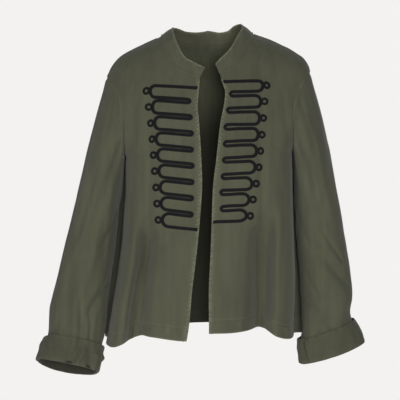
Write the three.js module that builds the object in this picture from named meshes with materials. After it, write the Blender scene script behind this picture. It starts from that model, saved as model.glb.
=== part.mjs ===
import * as THREE from "three";

// A cropped officer style jacket in washed cotton twill, worn open, at its real size.
// Millimetres. X points to the wearer's left, Y to the wearer's back, Z up.
// The origin is on the neck's axis, level with the shoulders' inner ends.

// Driving sizes
const CLOTH = 1.6;
const SEAM_GAP = 0.3;
const UNDERARM_Z = -240;
const UNDERARM_TILT = 0.03;
const MEAN_HEM_Z = -600;
const FRONT_COLUMNS = 12;
const NECK_COLUMNS = 8;
const LOWER_ROWS = 11;
const FRONT_SHOULDER_POWER = 2.1;
const BACK_SHOULDER_POWER = 2.6;
const FORWARD_SEAM = 0.985;
const PAST_FROM = 22;
const PAST_RISE = 42;
const NECK_SHARE = 0.36;
const NECK_SPREAD = 0.9;
const FRONT_SEAM_FADE = 0.06;
const FOLD_ONSET = 2.0;
const BACK_SEAM_FADE = 0.05;
const SEAM_OFFSET = 1.3;
const BRAID_WIDTH = 6.2;
const BRAID_HEIGHT = 1.8;
const BRAID_SEAT = 0.5;
const BRAID_STEP = 13;
const BEND_STEPS = 8;
const TURN_STEPS = 5;
const RING_RADIUS = 5.5;
const RING_BAND = 4.4;
const RING_STEPS = 10;
const BRAID_TOP = 0.72;
const RING_LIFT = { from: -0.35, over: 0.5 };
const TURNED_CLOTH = 2.2;
const CUFF_FROM = 0.94;
const SLEEVE_SETTLE = 0.3;
const SLEEVE_LEAD = 0.1;
const CREASE_RADIUS = 62;
const CREASE_END = { past: 0.25, over: 0.35 };

const RIGHT = { name: "right", sign: -1 };
const LEFT = { name: "left", sign: 1 };
const SIDES = [RIGHT, LEFT];

const OLIVE = { color: 0x52543f, roughness: 0.92, metalness: 0 };
const BLACK = { color: 0x1f2024, roughness: 0.7, metalness: 0 };

// Torso section by level: 0 is the hem, 1 the underarm, 2 the shoulder line. power is how
// square the section is; pastRight and pastLeft, how far the back's sides stand out past it.
const SECTION = [
  { level: 0.0, right: 205, left: 176, front: 112, back: 116, power: 3.0, pastRight: 24, pastLeft: 27 },
  { level: 0.2, right: 194, left: 177, front: 113, back: 116, power: 3.2, pastRight: 31, pastLeft: 37 },
  { level: 0.4, right: 182, left: 177, front: 113, back: 115, power: 3.2, pastRight: 34, pastLeft: 33 },
  { level: 0.6, right: 172, left: 175, front: 113, back: 114, power: 3.2, pastRight: 34, pastLeft: 26 },
  { level: 0.8, right: 167, left: 173, front: 114, back: 113, power: 3.2, pastRight: 30, pastLeft: 24 },
  { level: 0.92, right: 167.5, left: 172.5, front: 115, back: 113, power: 3.1, pastRight: 20, pastLeft: 17 },
  { level: 0.965, right: 168, left: 172.5, front: 115, back: 113, power: 3.05, pastRight: 15, pastLeft: 9 },
  { level: 1.0, right: 168, left: 172.5, front: 115, back: 113, power: 3.0, pastRight: 0, pastLeft: 0 },
  { level: 1.15, right: 184, left: 187, front: 115, back: 113, power: 2.6, pastRight: 0, pastLeft: 0 },
  { level: 1.3, right: 197, left: 199, front: 115, back: 113, power: 2.5, pastRight: 0, pastLeft: 0 },
  { level: 1.6, right: 211, left: 213, front: 114, back: 112, power: 2.5, pastRight: 0, pastLeft: 0 },
  { level: 2.0, right: 228, left: 230, front: 112, back: 110, power: 2.5, pastRight: 0, pastLeft: 0 },
];

// Shoulder line: its height and its place from front to back, by distance from the middle.
const SHOULDER = [
  { x: 0, right: 11, left: 12, y: 8 },
  { x: 84, right: 10, left: 12, y: 8 },
  { x: 100, right: 1, left: 7, y: 7 },
  { x: 128, right: -12, left: -3, y: 5 },
  { x: 164, right: -30, left: -20, y: 3 },
  { x: 180, right: -41, left: -30, y: 2 },
  { x: 195, right: -59, left: -42, y: 1 },
  { x: 206, right: -83, left: -62, y: 0 },
  { x: 214, right: -104, left: -88, y: 0 },
];

// Armhole edge: distance from the middle, by rise from the underarm to the shoulder line.
const ARMHOLE = [
  { rise: 0.0, right: 168, left: 172.5 },
  { rise: 0.29, right: 168, left: 171 },
  { rise: 0.46, right: 170, left: 172 },
  { rise: 0.63, right: 179, left: 181 },
  { rise: 0.81, right: 194, left: 196 },
  { rise: 1.0, right: 205, left: 209 },
];

// Front edges, open: distance of each from the middle, by height.
const FRONT_EDGE = [
  { z: -620, right: 46, left: 2.8 },
  { z: -570, right: 37.5, left: 2.8 },
  { z: -507, right: 32, left: 2.8 },
  { z: -440, right: 23.5, left: 6 },
  { z: -365, right: 16, left: 8.5 },
  { z: -304, right: 12, left: 11 },
  { z: -250, right: 13.5, left: 17.5 },
  { z: -180, right: 18, left: 25.5 },
  { z: -145, right: 20.5, left: 32.5 },
  { z: -118, right: 18.5, left: 34.5 },
  { z: -96, right: 16.5, left: 27 },
];

// Front neckline, from the front edge up to the shoulder line.
const NECKLINE = [
  { right: 16.5, rightZ: -91, left: 25, leftZ: -88 },
  { right: 33, rightZ: -87, left: 36, leftZ: -80 },
  { right: 60, rightZ: -76, left: 53, leftZ: -68 },
  { right: 77, rightZ: -54, left: 67, leftZ: -53 },
  { right: 87, rightZ: -33, left: 78, leftZ: -35 },
  { right: 93, rightZ: -14, left: 88, leftZ: -17 },
  { right: 95, rightZ: -5, left: 94, leftZ: -6 },
];

// Back neckline: rise by share of the way from the neck point to the centre back.
const BACK_NECK = [
  { share: 0.0, rise: 1.0 },
  { share: 0.25, rise: 0.975 },
  { share: 0.5, rise: 0.935 },
  { share: 0.75, rise: 0.915 },
  { share: 1.0, rise: 0.91 },
];

// Hem height by distance from the middle, fronts then back.
const HEM = [
  { x: 0, right: -606, left: -593, back: -594 },
  { x: 45, right: -608, left: -592, back: -595 },
  { x: 86, right: -604, left: -589, back: -598 },
  { x: 112, right: -601, left: -588, back: -601 },
  { x: 135, right: -600, left: -600, back: -604 },
  { x: 165, right: -616, left: -608, back: -607 },
  { x: 190, right: -624, left: -602, back: -608 },
  { x: 205, right: -622, left: -602, back: -616 },
];

// Folds of the fronts. share runs from the front edge to the side seam at the fold's head
// and at the hem; near and far are its widths toward the front edge and toward the side.
const FRONT_FOLDS = [
  { side: "right", head: 0.35, hem: 0.43, start: 0.76, near: 0.12, far: 0.05, depth: -42 },
  { side: "right", head: 0.5, hem: 0.62, start: 0.9, near: 0.08, far: 0.2, depth: 9 },
  { side: "right", head: 0.2, hem: 0.18, start: 0.6, near: 0.07, far: 0.09, depth: -5 },
  { side: "left", head: 0.35, hem: 0.325, start: 0.74, near: 0.13, far: 0.05, depth: -54 },
  { side: "left", head: 0.5, hem: 0.47, start: 0.9, near: 0.08, far: 0.2, depth: 8 },
  { side: "left", head: 0.86, hem: 0.9, start: 0.7, near: 0.08, far: 0.06, depth: -8 },
];

// Folds of the back. share runs from the right side seam, 0, to the left one, 1.
const BACK_FOLDS = [
  { head: 0.2, hem: 0.14, start: 0.85, width: 0.05, depth: -22 },
  { head: 0.3, hem: 0.27, start: 0.8, width: 0.06, depth: 12 },
  { head: 0.4, hem: 0.38, start: 0.7, width: 0.045, depth: -16 },
  { head: 0.56, hem: 0.57, start: 0.75, width: 0.07, depth: 10 },
  { head: 0.66, hem: 0.69, start: 0.8, width: 0.05, depth: -20 },
  { head: 0.82, hem: 0.86, start: 0.7, width: 0.06, depth: 16 },
];

// Sleeve rings from the armhole to the hand: the outer and inner ends of each in the front
// view, its middle from front to back, half its depth, and how far its back drops.
const SLEEVE_RINGS = {
  right: [
    { run: 0.0, outX: 206, outZ: -82, inX: 170, inZ: -244, y: 2, half: 86, drop: 0 },
    { run: 0.12, outX: 224, outZ: -145, inX: 171, inZ: -266, y: 2, half: 84, drop: 0 },
    { run: 0.24, outX: 243, outZ: -218, inX: 174, inZ: -304, y: 4, half: 78, drop: 0 },
    { run: 0.36, outX: 259, outZ: -286, inX: 182, inZ: -346, y: 6, half: 72, drop: 0 },
    { run: 0.48, outX: 275, outZ: -352, inX: 186, inZ: -392, y: 7, half: 66, drop: 0 },
    { run: 0.6, outX: 290, outZ: -415, inX: 192, inZ: -444, y: 5, half: 61, drop: 2 },
    { run: 0.72, outX: 305, outZ: -480, inX: 199, inZ: -500, y: 0, half: 57, drop: 5 },
    { run: 0.86, outX: 321, outZ: -548, inX: 207, inZ: -566, y: -8, half: 52, drop: 10 },
    { run: 0.93, outX: 325, outZ: -606, inX: 214, inZ: -622, y: -13, half: 47, drop: 16 },
    { run: 1.0, outX: 345, outZ: -657, inX: 223, inZ: -678, y: -18, half: 44, drop: 21 },
  ],
  left: [
    { run: 0.0, outX: 208, outZ: -67, inX: 175, inZ: -234, y: 2, half: 86, drop: 0 },
    { run: 0.12, outX: 229, outZ: -141, inX: 176.5, inZ: -258, y: 2, half: 84, drop: 0 },
    { run: 0.24, outX: 247, outZ: -216, inX: 177, inZ: -300, y: 4, half: 78, drop: 0 },
    { run: 0.36, outX: 261, outZ: -288, inX: 179, inZ: -346, y: 6, half: 72, drop: 0 },
    { run: 0.48, outX: 274, outZ: -352, inX: 182, inZ: -394, y: 7, half: 66, drop: 0 },
    { run: 0.6, outX: 283, outZ: -414, inX: 186, inZ: -450, y: 5, half: 61, drop: 1 },
    { run: 0.72, outX: 292, outZ: -470, inX: 189, inZ: -504, y: 0, half: 57, drop: 1 },
    { run: 0.86, outX: 296, outZ: -530, inX: 192, inZ: -560, y: -8, half: 52, drop: 0 },
    { run: 0.93, outX: 292, outZ: -568, inX: 192, inZ: -606, y: -13, half: 47, drop: -1 },
    { run: 1.0, outX: 316, outZ: -618, inX: 189, inZ: -661, y: -18, half: 44, drop: -2 },
  ],
};

// Sleeve creases: run and turn of both ends, their half width and depth. turn is in degrees
// round the ring: 0 outer, 90 back, 180 inner, 270 front.
const SLEEVE_CREASES = [
  { side: "right", run0: 0.12, turn0: 236, run1: 0.5, turn1: 264, wide: 15, depth: -6 },
  { side: "right", run0: 0.7, turn0: 300, run1: 0.93, turn1: 285, wide: 15, depth: -7 },
  { side: "right", run0: 0.74, turn0: 205, run1: 0.9, turn1: 250, wide: 14, depth: -6 },
  { side: "right", run0: 0.5, turn0: 150, run1: 0.72, turn1: 80, wide: 18, depth: -7 },
  { side: "left", run0: 0.1, turn0: 236, run1: 0.45, turn1: 260, wide: 15, depth: -6 },
  { side: "left", run0: 0.58, turn0: 250, run1: 0.8, turn1: 320, wide: 14, depth: -5 },
  { side: "left", run0: 0.8, turn0: 200, run1: 0.92, turn1: 270, wide: 14, depth: -5 },
  { side: "left", run0: 0.45, turn0: 150, run1: 0.7, turn1: 90, wide: 18, depth: -7 },
];

// Collar: how far its top edge lies inward, back and up from its seam, by share of the
// way from the front end to the centre back.
const COLLAR = [
  { share: 0.0, inRight: 10, inLeft: 11, back: 4, upRight: 21, upLeft: 24 },
  { share: 0.12, inRight: 16, inLeft: 17, back: 6, upRight: 25, upLeft: 26 },
  { share: 0.3, inRight: 21, inLeft: 21, back: 7, upRight: 26, upLeft: 26 },
  { share: 0.5, inRight: 25, inLeft: 24, back: 5, upRight: 20, upLeft: 22 },
  { share: 0.65, inRight: 21, inLeft: 22, back: 2, upRight: 19, upLeft: 23 },
  { share: 0.82, inRight: 10, inLeft: 10, back: -2, upRight: 26, upLeft: 27 },
  { share: 1.0, inRight: 0, inLeft: 0, back: -4, upRight: 33.5, upLeft: 33.5 },
];

// Frogging: the nine eyelets of each front, and the ends of the eight doubled lines between
// them, as distances from the middle and heights.
const EYELETS = {
  right: [
    { x: 121, z: -117, lineEnd: 34.5 },
    { x: 116.5, z: -149, lineEnd: 32 },
    { x: 112, z: -181, lineEnd: 29.5 },
    { x: 109, z: -212.5, lineEnd: 29.5 },
    { x: 106, z: -244, lineEnd: 28 },
    { x: 103.5, z: -275.5, lineEnd: 28.5 },
    { x: 101, z: -307.5, lineEnd: 29 },
    { x: 99, z: -339, lineEnd: 30 },
    { x: 96.5, z: -371 },
  ],
  left: [
    { x: 116, z: -106, lineEnd: 44 },
    { x: 111.5, z: -138, lineEnd: 37.5 },
    { x: 109, z: -171, lineEnd: 33 },
    { x: 106, z: -204, lineEnd: 31.5 },
    { x: 103, z: -236, lineEnd: 29.5 },
    { x: 99.5, z: -268, lineEnd: 27.5 },
    { x: 94, z: -300, lineEnd: 25 },
    { x: 88, z: -331, lineEnd: 25 },
    { x: 82.5, z: -363 },
  ],
};
const FROGGING = {
  right: { spacing: 7.0, sag: 5.5, topX: 21, topZ: -112, lastX: 21, lastZ: -390, inside: 7.4 },
  left: { spacing: 8.8, sag: 2.0, topX: 31, topZ: -99, lastX: 11, lastZ: -375, inside: 7.4 },
};
const BEND_LENGTH = { first: 9, last: 13 };

// Places of the rows: rises above the underarm on the fronts and the back, and the runs down
// a sleeve, closer near its seam and its hand.
const FRONT_RISES = [0.03, 0.09, 0.2, 0.33, 0.46, 0.56];
const BACK_RISES = [0.03, 0.09, 0.2, 0.34, 0.48, 0.62, 0.75, 0.86, 0.94, 1.0];
const SLEEVE_RUNS = [0, 0.035, 0.085, 0.15, 0.23, 0.32, 0.41, 0.5, 0.59, 0.67, 0.75, 0.82, 0.88, 0.94, 1];

// The turned-up cuff's section, from the lip under the sleeve's end round the bottom fold and
// up: share of the way up the sleeve, distance out from the sleeve, and drop below its end.
const CUFF_LIP = TURNED_CLOTH + SEAM_GAP * 2;
const CUFF_CLEAR = TURNED_CLOTH + SEAM_GAP * 4;
const CUFF_PROFILE = [
  { up: 0, out: -CLOTH, down: CUFF_LIP, faces: "down" },
  { up: 0, out: SEAM_GAP, down: CUFF_LIP, faces: "down" },
  { up: 0, out: CUFF_LIP, down: CUFF_LIP * 0.6, faces: "corner" },
  { up: 0.12, out: CUFF_CLEAR + 0.8, down: 0, faces: "out" },
  { up: 0.55, out: CUFF_CLEAR + 2, down: 0, faces: "out" },
  { up: 0.98, out: CUFF_CLEAR + 3.5, down: 0, faces: "out" },
];

const COLLAR_SHARES = [0, 0.3, 0.65, 1];

const smooth = (t) => {
  const c = Math.min(Math.max(t, 0), 1);
  return c * c * (3 - 2 * c);
};
const mix = (a, b, t) => a + (b - a) * t;

// Smooth curve through one column of a table, by another column that rises.
function read(table, key, at, column) {
  const last = table.length - 1;
  if (at <= table[0][key]) return table[0][column];
  if (at >= table[last][key]) return table[last][column];
  let i = 0;
  while (table[i + 1][key] < at) i += 1;
  const slope = (j) => {
    const a = table[Math.max(j - 1, 0)];
    const b = table[Math.min(j + 1, last)];
    return (b[column] - a[column]) / (b[key] - a[key]);
  };
  const span = table[i + 1][key] - table[i][key];
  const t = (at - table[i][key]) / span;
  const t2 = t * t;
  const t3 = t2 * t;
  return (2 * t3 - 3 * t2 + 1) * table[i][column] + (t3 - 2 * t2 + t) * span * slope(i)
    + (3 * t2 - 2 * t3) * table[i + 1][column] + (t3 - t2) * span * slope(i + 1);
}

const underarm = (x) => UNDERARM_Z + UNDERARM_TILT * x;
const FRONTWARD = new THREE.Vector3(0, -1, 0);
const bell = (distance, near, far) => Math.exp(-((distance / (distance < 0 ? near : far)) ** 2));

// Depth of a superellipse section, 1 at the middle and 0 at the side.
const fullness = (ratio, power) => (1 - Math.min(Math.abs(ratio), 1) ** power) ** (1 / power);
const angleOf = (ratio, power) => Math.asin(Math.min(ratio, 1) ** (power / 2));

// The height of the front's inner edge at a level, and its distance from the middle.
function innerEdge(side, level) {
  if (level <= 1) return read(FRONT_EDGE, "z", mix(MEAN_HEM_Z, UNDERARM_Z, level), side.name);
  const low = underarm(0);
  const z = low + (level - 1) * (read(SHOULDER, "x", 0, side.name) - low);
  const first = NECKLINE[0][side.name + "Z"];
  if (z <= first) return read(FRONT_EDGE, "z", z, side.name);
  const rises = NECKLINE.map((point) => ({ z: point[side.name + "Z"], x: point[side.name] }));
  return read(rises, "z", z, "x");
}

// A point of the torso: x from the section's angle, y from its depth, z from the level.
function torsoPoint(side, face, inner, outer, share, level) {
  const wide = read(SECTION, "level", level, side.name);
  const deep = read(SECTION, "level", level, face);
  const square = read(SECTION, "level", level, "power");
  const angle = mix(angleOf(inner / wide, square), angleOf(outer / wide, square), share);
  const ratio = Math.sin(angle) ** (2 / square);
  const depth = deep * Math.cos(angle) ** (2 / square) * (face === "front" ? -1 : 1);
  const pastColumn = side.sign < 0 ? "pastRight" : "pastLeft";
  const past = face === "front" ? 0 : read(SECTION, "level", level, pastColumn)
    * Math.sin(angle) ** 2 * smooth((depth - PAST_FROM) / PAST_RISE);
  const x = side.sign * (wide * ratio + past);
  const low = underarm(x);
  if (level <= 1) {
    const hem = read(HEM, "x", Math.abs(x), face === "front" ? side.name : "back");
    return new THREE.Vector3(x, depth, mix(hem, low, level));
  }
  const rise = level - 1;
  const top = read(SHOULDER, "x", Math.abs(x), side.name);
  const ridge = read(SHOULDER, "x", Math.abs(x), "y");
  const power = face === "front" ? FRONT_SHOULDER_POWER : BACK_SHOULDER_POWER;
  return new THREE.Vector3(x, ridge + (depth - ridge) * fullness(rise, power), low + rise * (top - low));
}

const armholeEdge = (side, level) => (level <= 1
  ? read(SECTION, "level", level, side.name)
  : read(ARMHOLE, "rise", level - 1, side.name));

function frontBase(side, share, level) {
  return torsoPoint(side, "front", innerEdge(side, level), armholeEdge(side, level), share, level);
}

// The back is laid out over the same distances: share 0 is its middle, 1 the side.
function backBase(side, share, level) {
  if (level > 2) {
    const along = (share - NECK_SHARE) / (1 - NECK_SHARE);
    return frontBase(side, Math.max(along, 0), 4 - level);
  }
  const edge = armholeEdge(side, level);
  const wide = read(SECTION, "level", level, side.name);
  const neck = mix(NECK_SHARE * edge, innerEdge(side, 2), smooth((level - 1) / NECK_SPREAD));
  const square = read(SECTION, "level", level, "power");
  const middle = angleOf(Math.abs(neck) / wide, square);
  const outer = angleOf(edge / wide, square);
  const angle = share < NECK_SHARE
    ? mix(0, middle, share / NECK_SHARE)
    : mix(middle, outer, (share - NECK_SHARE) / (1 - NECK_SHARE));
  const reach = wide * Math.sin(angle) ** (2 / square);
  return torsoPoint(side, "back", reach, reach, 0, level);
}

// Outward direction of a laid out surface at one place.
function facing(point, share, level, flip) {
  const step = 1e-3;
  const across = point(Math.min(share + step, 1), level).sub(point(Math.max(share - step, 0), level));
  const up = point(share, level + step).sub(point(share, level - step));
  const normal = new THREE.Vector3().crossVectors(across, up).normalize();
  return flip ? normal.negate() : normal;
}

// How far a front's folds push it forward. They soften toward their heads.
function frontFold(side, share, level) {
  let sum = 0;
  for (const fold of FRONT_FOLDS) {
    if (fold.side !== side.name || level >= fold.start) continue;
    const centre = mix(fold.hem, fold.head, level / fold.start);
    const fade = smooth(FOLD_ONSET * (fold.start - level) / fold.start);
    const far = mix(Math.max(fold.near, fold.far), fold.far, fade);
    sum += fold.depth * fade * bell(share - centre, fold.near, far);
  }
  const seam = smooth((1 - share) / FRONT_SEAM_FADE);
  return sum * seam;
}

function backFold(across, level) {
  let sum = 0;
  for (const fold of BACK_FOLDS) {
    if (level >= fold.start) continue;
    const centre = mix(fold.hem, fold.head, level / fold.start);
    const fade = smooth((fold.start - level) / fold.start);
    sum += fold.depth * fade * bell(across - centre, fold.width, fold.width);
  }
  const seam = smooth(Math.min(across, 1 - across) / BACK_SEAM_FADE);
  return sum * seam;
}

// A closed wall over a grid of outer points: rows of columns, each with its outward normal.
// round closes the columns on themselves, as on a sleeve.
function wall(rows, thickness, round) {
  const height = rows.length;
  const width = rows[0].length;
  const positions = [];
  for (const layer of [0, thickness]) {
    for (const row of rows) {
      for (const place of row) {
        const p = place.point.clone().addScaledVector(place.normal, -layer);
        positions.push(p.x, p.y, p.z);
      }
    }
  }
  const inner = height * width;
  const indices = [];
  const quad = (a, b, c, d) => indices.push(a, b, c, a, c, d);
  const columns = round ? width : width - 1;
  for (let r = 0; r < height - 1; r += 1) {
    for (let c = 0; c < columns; c += 1) {
      const d = (c + 1) % width;
      const corners = [r * width + c, r * width + d, (r + 1) * width + d, (r + 1) * width + c];
      quad(...corners);
      quad(...corners.map((corner) => corner + inner).reverse());
    }
  }
  for (let c = 0; c < columns; c += 1) {
    const d = (c + 1) % width;
    const top = (height - 1) * width;
    quad(d, c, c + inner, d + inner);
    quad(top + c, top + d, top + d + inner, top + c + inner);
  }
  if (!round) {
    for (let r = 0; r < height - 1; r += 1) {
      const a = r * width;
      const b = (r + 1) * width;
      const end = width - 1;
      quad(a, b, b + inner, a + inner);
      quad(b + end, a + end, a + end + inner, b + end + inner);
    }
  }
  const geometry = new THREE.BufferGeometry();
  geometry.setAttribute("position", new THREE.Float32BufferAttribute(positions, 3));
  geometry.setIndex(indices);
  return outward(geometry);
}

// Turns a closed mesh's faces outward if its signed volume is negative.
function outward(geometry) {
  const p = geometry.getAttribute("position");
  const index = geometry.getIndex().array;
  const [a, b, c] = [new THREE.Vector3(), new THREE.Vector3(), new THREE.Vector3()];
  let volume = 0;
  for (let i = 0; i < index.length; i += 3) {
    a.fromBufferAttribute(p, index[i]);
    b.fromBufferAttribute(p, index[i + 1]);
    c.fromBufferAttribute(p, index[i + 2]);
    volume += a.dot(b.cross(c));
  }
  if (volume < 0) {
    for (let i = 0; i < index.length; i += 3) {
      [index[i], index[i + 1]] = [index[i + 1], index[i]];
    }
  }
  geometry.computeVertexNormals();
  return geometry;
}

const model = new THREE.Group();
model.name = "napoleon_jacket";

function add(name, geometry, finish) {
  const mesh = new THREE.Mesh(geometry, new THREE.MeshStandardMaterial(finish));
  mesh.name = name;
  model.add(mesh);
}

// Levels of the rows: even steps below the underarm, then closer ones round the neck.
const lowerLevels = Array.from({ length: LOWER_ROWS }, (_, i) => i / (LOWER_ROWS - 1));

function frontLevels(side) {
  const low = underarm(0);
  const span = read(SHOULDER, "x", 0, side.name) - low;
  const neck = NECKLINE.map((point) => (point[side.name + "Z"] - low) / span);
  const rises = [...FRONT_RISES, ...neck, FORWARD_SEAM].filter((rise) => rise <= FORWARD_SEAM);
  return [...lowerLevels, ...rises.map((rise) => 1 + rise)];
}

// Draws a panel's seam edges in by half the seam gap.
function drawIn(rows, { start = false, end = false, top = false }) {
  const pull = (edge, neighbour) => {
    const inward = neighbour.point.clone().sub(edge.point).setLength(SEAM_GAP / 2);
    edge.point = edge.point.clone().add(inward);
  };
  const last = rows[0].length - 1;
  for (const row of rows) {
    if (start) pull(row[0], row[1]);
    if (end) pull(row[last], row[last - 1]);
  }
  if (top) rows.at(-1).forEach((edge, c) => pull(edge, rows.at(-2)[c]));
  return rows;
}

// The two fronts.
function frontRows(side) {
  const point = (share, level) => frontBase(side, share, level)
    .addScaledVector(FRONTWARD, frontFold(side, share, level));
  return frontLevels(side).map((level) => {
    const row = [];
    for (let c = 0; c <= FRONT_COLUMNS; c += 1) {
      const share = c / FRONT_COLUMNS;
      const normal = facing(point, share, level, side.sign < 0);
      row.push({ point: point(share, level), normal, share, level });
    }
    return row;
  });
}

function backRows() {
  const levels = [...lowerLevels, ...[...BACK_RISES, 2 - FORWARD_SEAM].map((rise) => 1 + rise)];
  const topLevel = 3 - FORWARD_SEAM;
  const shares = [];
  for (let c = 0; c < FRONT_COLUMNS; c += 1) shares.push(1 - (c / FRONT_COLUMNS) * (1 - NECK_SHARE));
  for (let c = 0; c <= NECK_COLUMNS / 2; c += 1) shares.push(NECK_SHARE * (1 - (2 * c) / NECK_COLUMNS));
  const places = [...shares.map((share) => [RIGHT, share]),
    ...shares.slice(0, -1).reverse().map((share) => [LEFT, share])];
  return levels.map((level) => places.map(([side, share], column) => {
    let at = level;
    if (share < NECK_SHARE && level > 1) {
      const neck = 1 + read(BACK_NECK, "share", 1 - share / NECK_SHARE, "rise");
      at = 1 + (level - 1) * ((neck - 1) / (topLevel - 1));
    }
    const point = (s, l) => backBase(side, s, l);
    const normal = facing(point, share, at, side.sign > 0);
    const across = column / (places.length - 1);
    const place = point(share, at).addScaledVector(normal, backFold(across, level));
    return { point: place, normal, side, share, level: at };
  }));
}

const frontSeams = { end: true, top: true };
const fronts = { right: drawIn(frontRows(RIGHT), frontSeams), left: drawIn(frontRows(LEFT), frontSeams) };
const back = drawIn(backRows(), { start: true, end: true, top: true });
const lastColumn = back[0].length - 1;

// Where a piece sewn to a panel's edge starts: a seam gap off the edge, its wall turned from
// the panel's plane to the way it runs, so that the two end faces never meet.
function seamStart(edge, inside, before, after, towards) {
  const along = after.clone().sub(before);
  const off = new THREE.Vector3().crossVectors(along, edge.normal).normalize();
  if (off.dot(edge.point.clone().sub(inside.point)) < 0) off.negate();
  const turn = Math.max(Math.atan2(towards.dot(edge.normal), towards.dot(off)), 0);
  const point = edge.point.clone()
    .addScaledVector(off, SEAM_GAP * SEAM_OFFSET * Math.cos(turn / 2))
    .addScaledVector(edge.normal, SEAM_GAP * SEAM_OFFSET * Math.sin(turn / 2));
  const normal = edge.normal.clone().multiplyScalar(Math.cos(turn)).addScaledVector(off, -Math.sin(turn));
  return { point, normal: normal.normalize() };
}

// Normals of a grid of points from its neighbours, on the side away from the grid's inside.
function faceGrid(points, round, fixedFirst, sense) {
  const width = points[0].length;
  return points.map((row, r) => row.map((point, c) => {
    if (r === 0 && fixedFirst) return { point, normal: fixedFirst[c] };
    const left = round ? row[(c + width - 1) % width] : row[Math.max(c - 1, 0)];
    const right = round ? row[(c + 1) % width] : row[Math.min(c + 1, width - 1)];
    const below = points[Math.max(r - 1, 0)][c];
    const above = points[Math.min(r + 1, points.length - 1)][c];
    const across = right.clone().sub(left);
    const normal = new THREE.Vector3().crossVectors(across, above.clone().sub(below));
    return { point, normal: normal.normalize().multiplyScalar(sense) };
  }));
}

// The armhole's edge, from the underarm up the front, over the shoulder and down the back.
function armholeLoop(side) {
  const front = fronts[side.name].filter((row) => row[0].level >= 1)
    .map((row) => ({ edge: row.at(-1), inside: row.at(-2) }));
  const at = side.sign < 0 ? 0 : lastColumn;
  const next = side.sign < 0 ? 1 : lastColumn - 1;
  const rear = back.filter((row) => row[at].level >= 1)
    .map((row) => ({ edge: row[at], inside: row[next] })).reverse();
  const shoulder = rear.shift();
  const foot = rear.pop();
  const top = front.at(-1);
  top.edge = { point: top.edge.point.clone().lerp(shoulder.edge.point, 0.5), normal: top.edge.normal };
  const bottom = front[0];
  bottom.edge = { point: bottom.edge.point.clone().lerp(foot.edge.point, 0.5), normal: bottom.edge.normal };
  bottom.inside = { point: bottom.edge.point.clone().add(new THREE.Vector3(0, 0, -1)) };
  return { loop: [...front, ...rear], ridge: front.length };
}

// Turn of each point of the armhole round the sleeve, in degrees, by length along its edge.
function loopTurns({ loop, ridge }) {
  const lengths = [0];
  for (let i = 1; i <= loop.length; i += 1) {
    const step = loop[i % loop.length].edge.point.distanceTo(loop[i - 1].edge.point);
    lengths.push(lengths[i - 1] + step);
  }
  return loop.map((_, i) => (i <= ridge
    ? 180 + 180 * (lengths[i] / lengths[ridge])
    : 360 + 180 * ((lengths[i] - lengths[ridge]) / (lengths.at(-1) - lengths[ridge]))));
}

function ringPoint(side, run, turn) {
  const rings = SLEEVE_RINGS[side.name];
  const get = (column) => read(rings, "run", run, column);
  const outer = new THREE.Vector3(side.sign * get("outX"), get("y"), get("outZ"));
  const inner = new THREE.Vector3(side.sign * get("inX"), get("y"), get("inZ"));
  const angle = THREE.MathUtils.degToRad(turn);
  const deep = new THREE.Vector3(0, get("half"), -get("drop"));
  return outer.clone().add(inner).multiplyScalar(0.5)
    .addScaledVector(outer.clone().sub(inner), Math.cos(angle) / 2)
    .addScaledVector(deep, Math.sin(angle));
}

// Depth of the sleeve's creases at a place, each a valley along a slanting line.
function creaseDepth(side, run, turn) {
  let sum = 0;
  for (const crease of SLEEVE_CREASES) {
    if (crease.side !== side.name) continue;
    const along = (run - crease.run0) / (crease.run1 - crease.run0);
    const ends = smooth((Math.min(along, 1 - along) + CREASE_END.past) / CREASE_END.over);
    const centre = mix(crease.turn0, crease.turn1, along);
    const gap = ((turn - centre + 540) % 360) - 180;
    const distance = THREE.MathUtils.degToRad(gap) * CREASE_RADIUS;
    sum += crease.depth * ends * bell(distance, crease.wide, crease.wide);
  }
  return sum;
}

function sleeveSurface(side) {
  const hole = armholeLoop(side);
  const turns = loopTurns(hole);
  const count = hole.loop.length;
  const starts = hole.loop.map(({ edge, inside }, i) => {
    const before = hole.loop[(i + count - 1) % count].edge.point;
    const after = hole.loop[(i + 1) % count].edge.point;
    const towards = ringPoint(side, SLEEVE_LEAD, turns[i]).sub(ringPoint(side, 0, turns[i]));
    return seamStart(edge, inside, before, after, towards.normalize());
  });
  const shifts = starts.map((start, i) => start.point.clone().sub(ringPoint(side, 0, turns[i])));
  const place = (run, i) => {
    const point = ringPoint(side, run, turns[i]).addScaledVector(shifts[i], 1 - smooth(run / SLEEVE_SETTLE));
    const centre = ringPoint(side, run, 0).add(ringPoint(side, run, 180)).multiplyScalar(0.5);
    const out = point.clone().sub(centre);
    return point.addScaledVector(out.normalize(), creaseDepth(side, run, turns[i]));
  };
  return { place, starts, turns };
}

const sleeves = { right: sleeveSurface(RIGHT), left: sleeveSurface(LEFT) };

function sleeveRows(side) {
  const { place, starts, turns } = sleeves[side.name];
  const points = SLEEVE_RUNS.map((run) => turns.map((_, i) => place(run, i)));
  points[0] = starts.map((start) => start.point);
  return faceGrid(points, true, starts.map((start) => start.normal), -side.sign);
}

// The turned-up cuff stands off the sleeve and opens a little toward its upper edge.
function cuffRows(side) {
  const { place, turns } = sleeves[side.name];
  const middle = (run) => turns.reduce((sum, _, i) => sum.add(place(run, i)), new THREE.Vector3())
    .divideScalar(turns.length);
  const centre = middle(1);
  const axis = centre.clone().sub(middle(CUFF_FROM)).normalize();
  return CUFF_PROFILE.map(({ up, out, down, faces }) => turns.map((_, i) => {
    const end = place(1, i);
    const outwards = end.clone().sub(centre);
    outwards.addScaledVector(axis, -outwards.dot(axis)).normalize();
    const point = end.lerp(place(CUFF_FROM, i), up)
      .addScaledVector(outwards, out).addScaledVector(axis, down);
    const normal = {
      down: axis.clone(),
      corner: axis.clone().add(outwards).normalize(),
      out: outwards,
    }[faces];
    return { point, normal };
  }));
}

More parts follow.
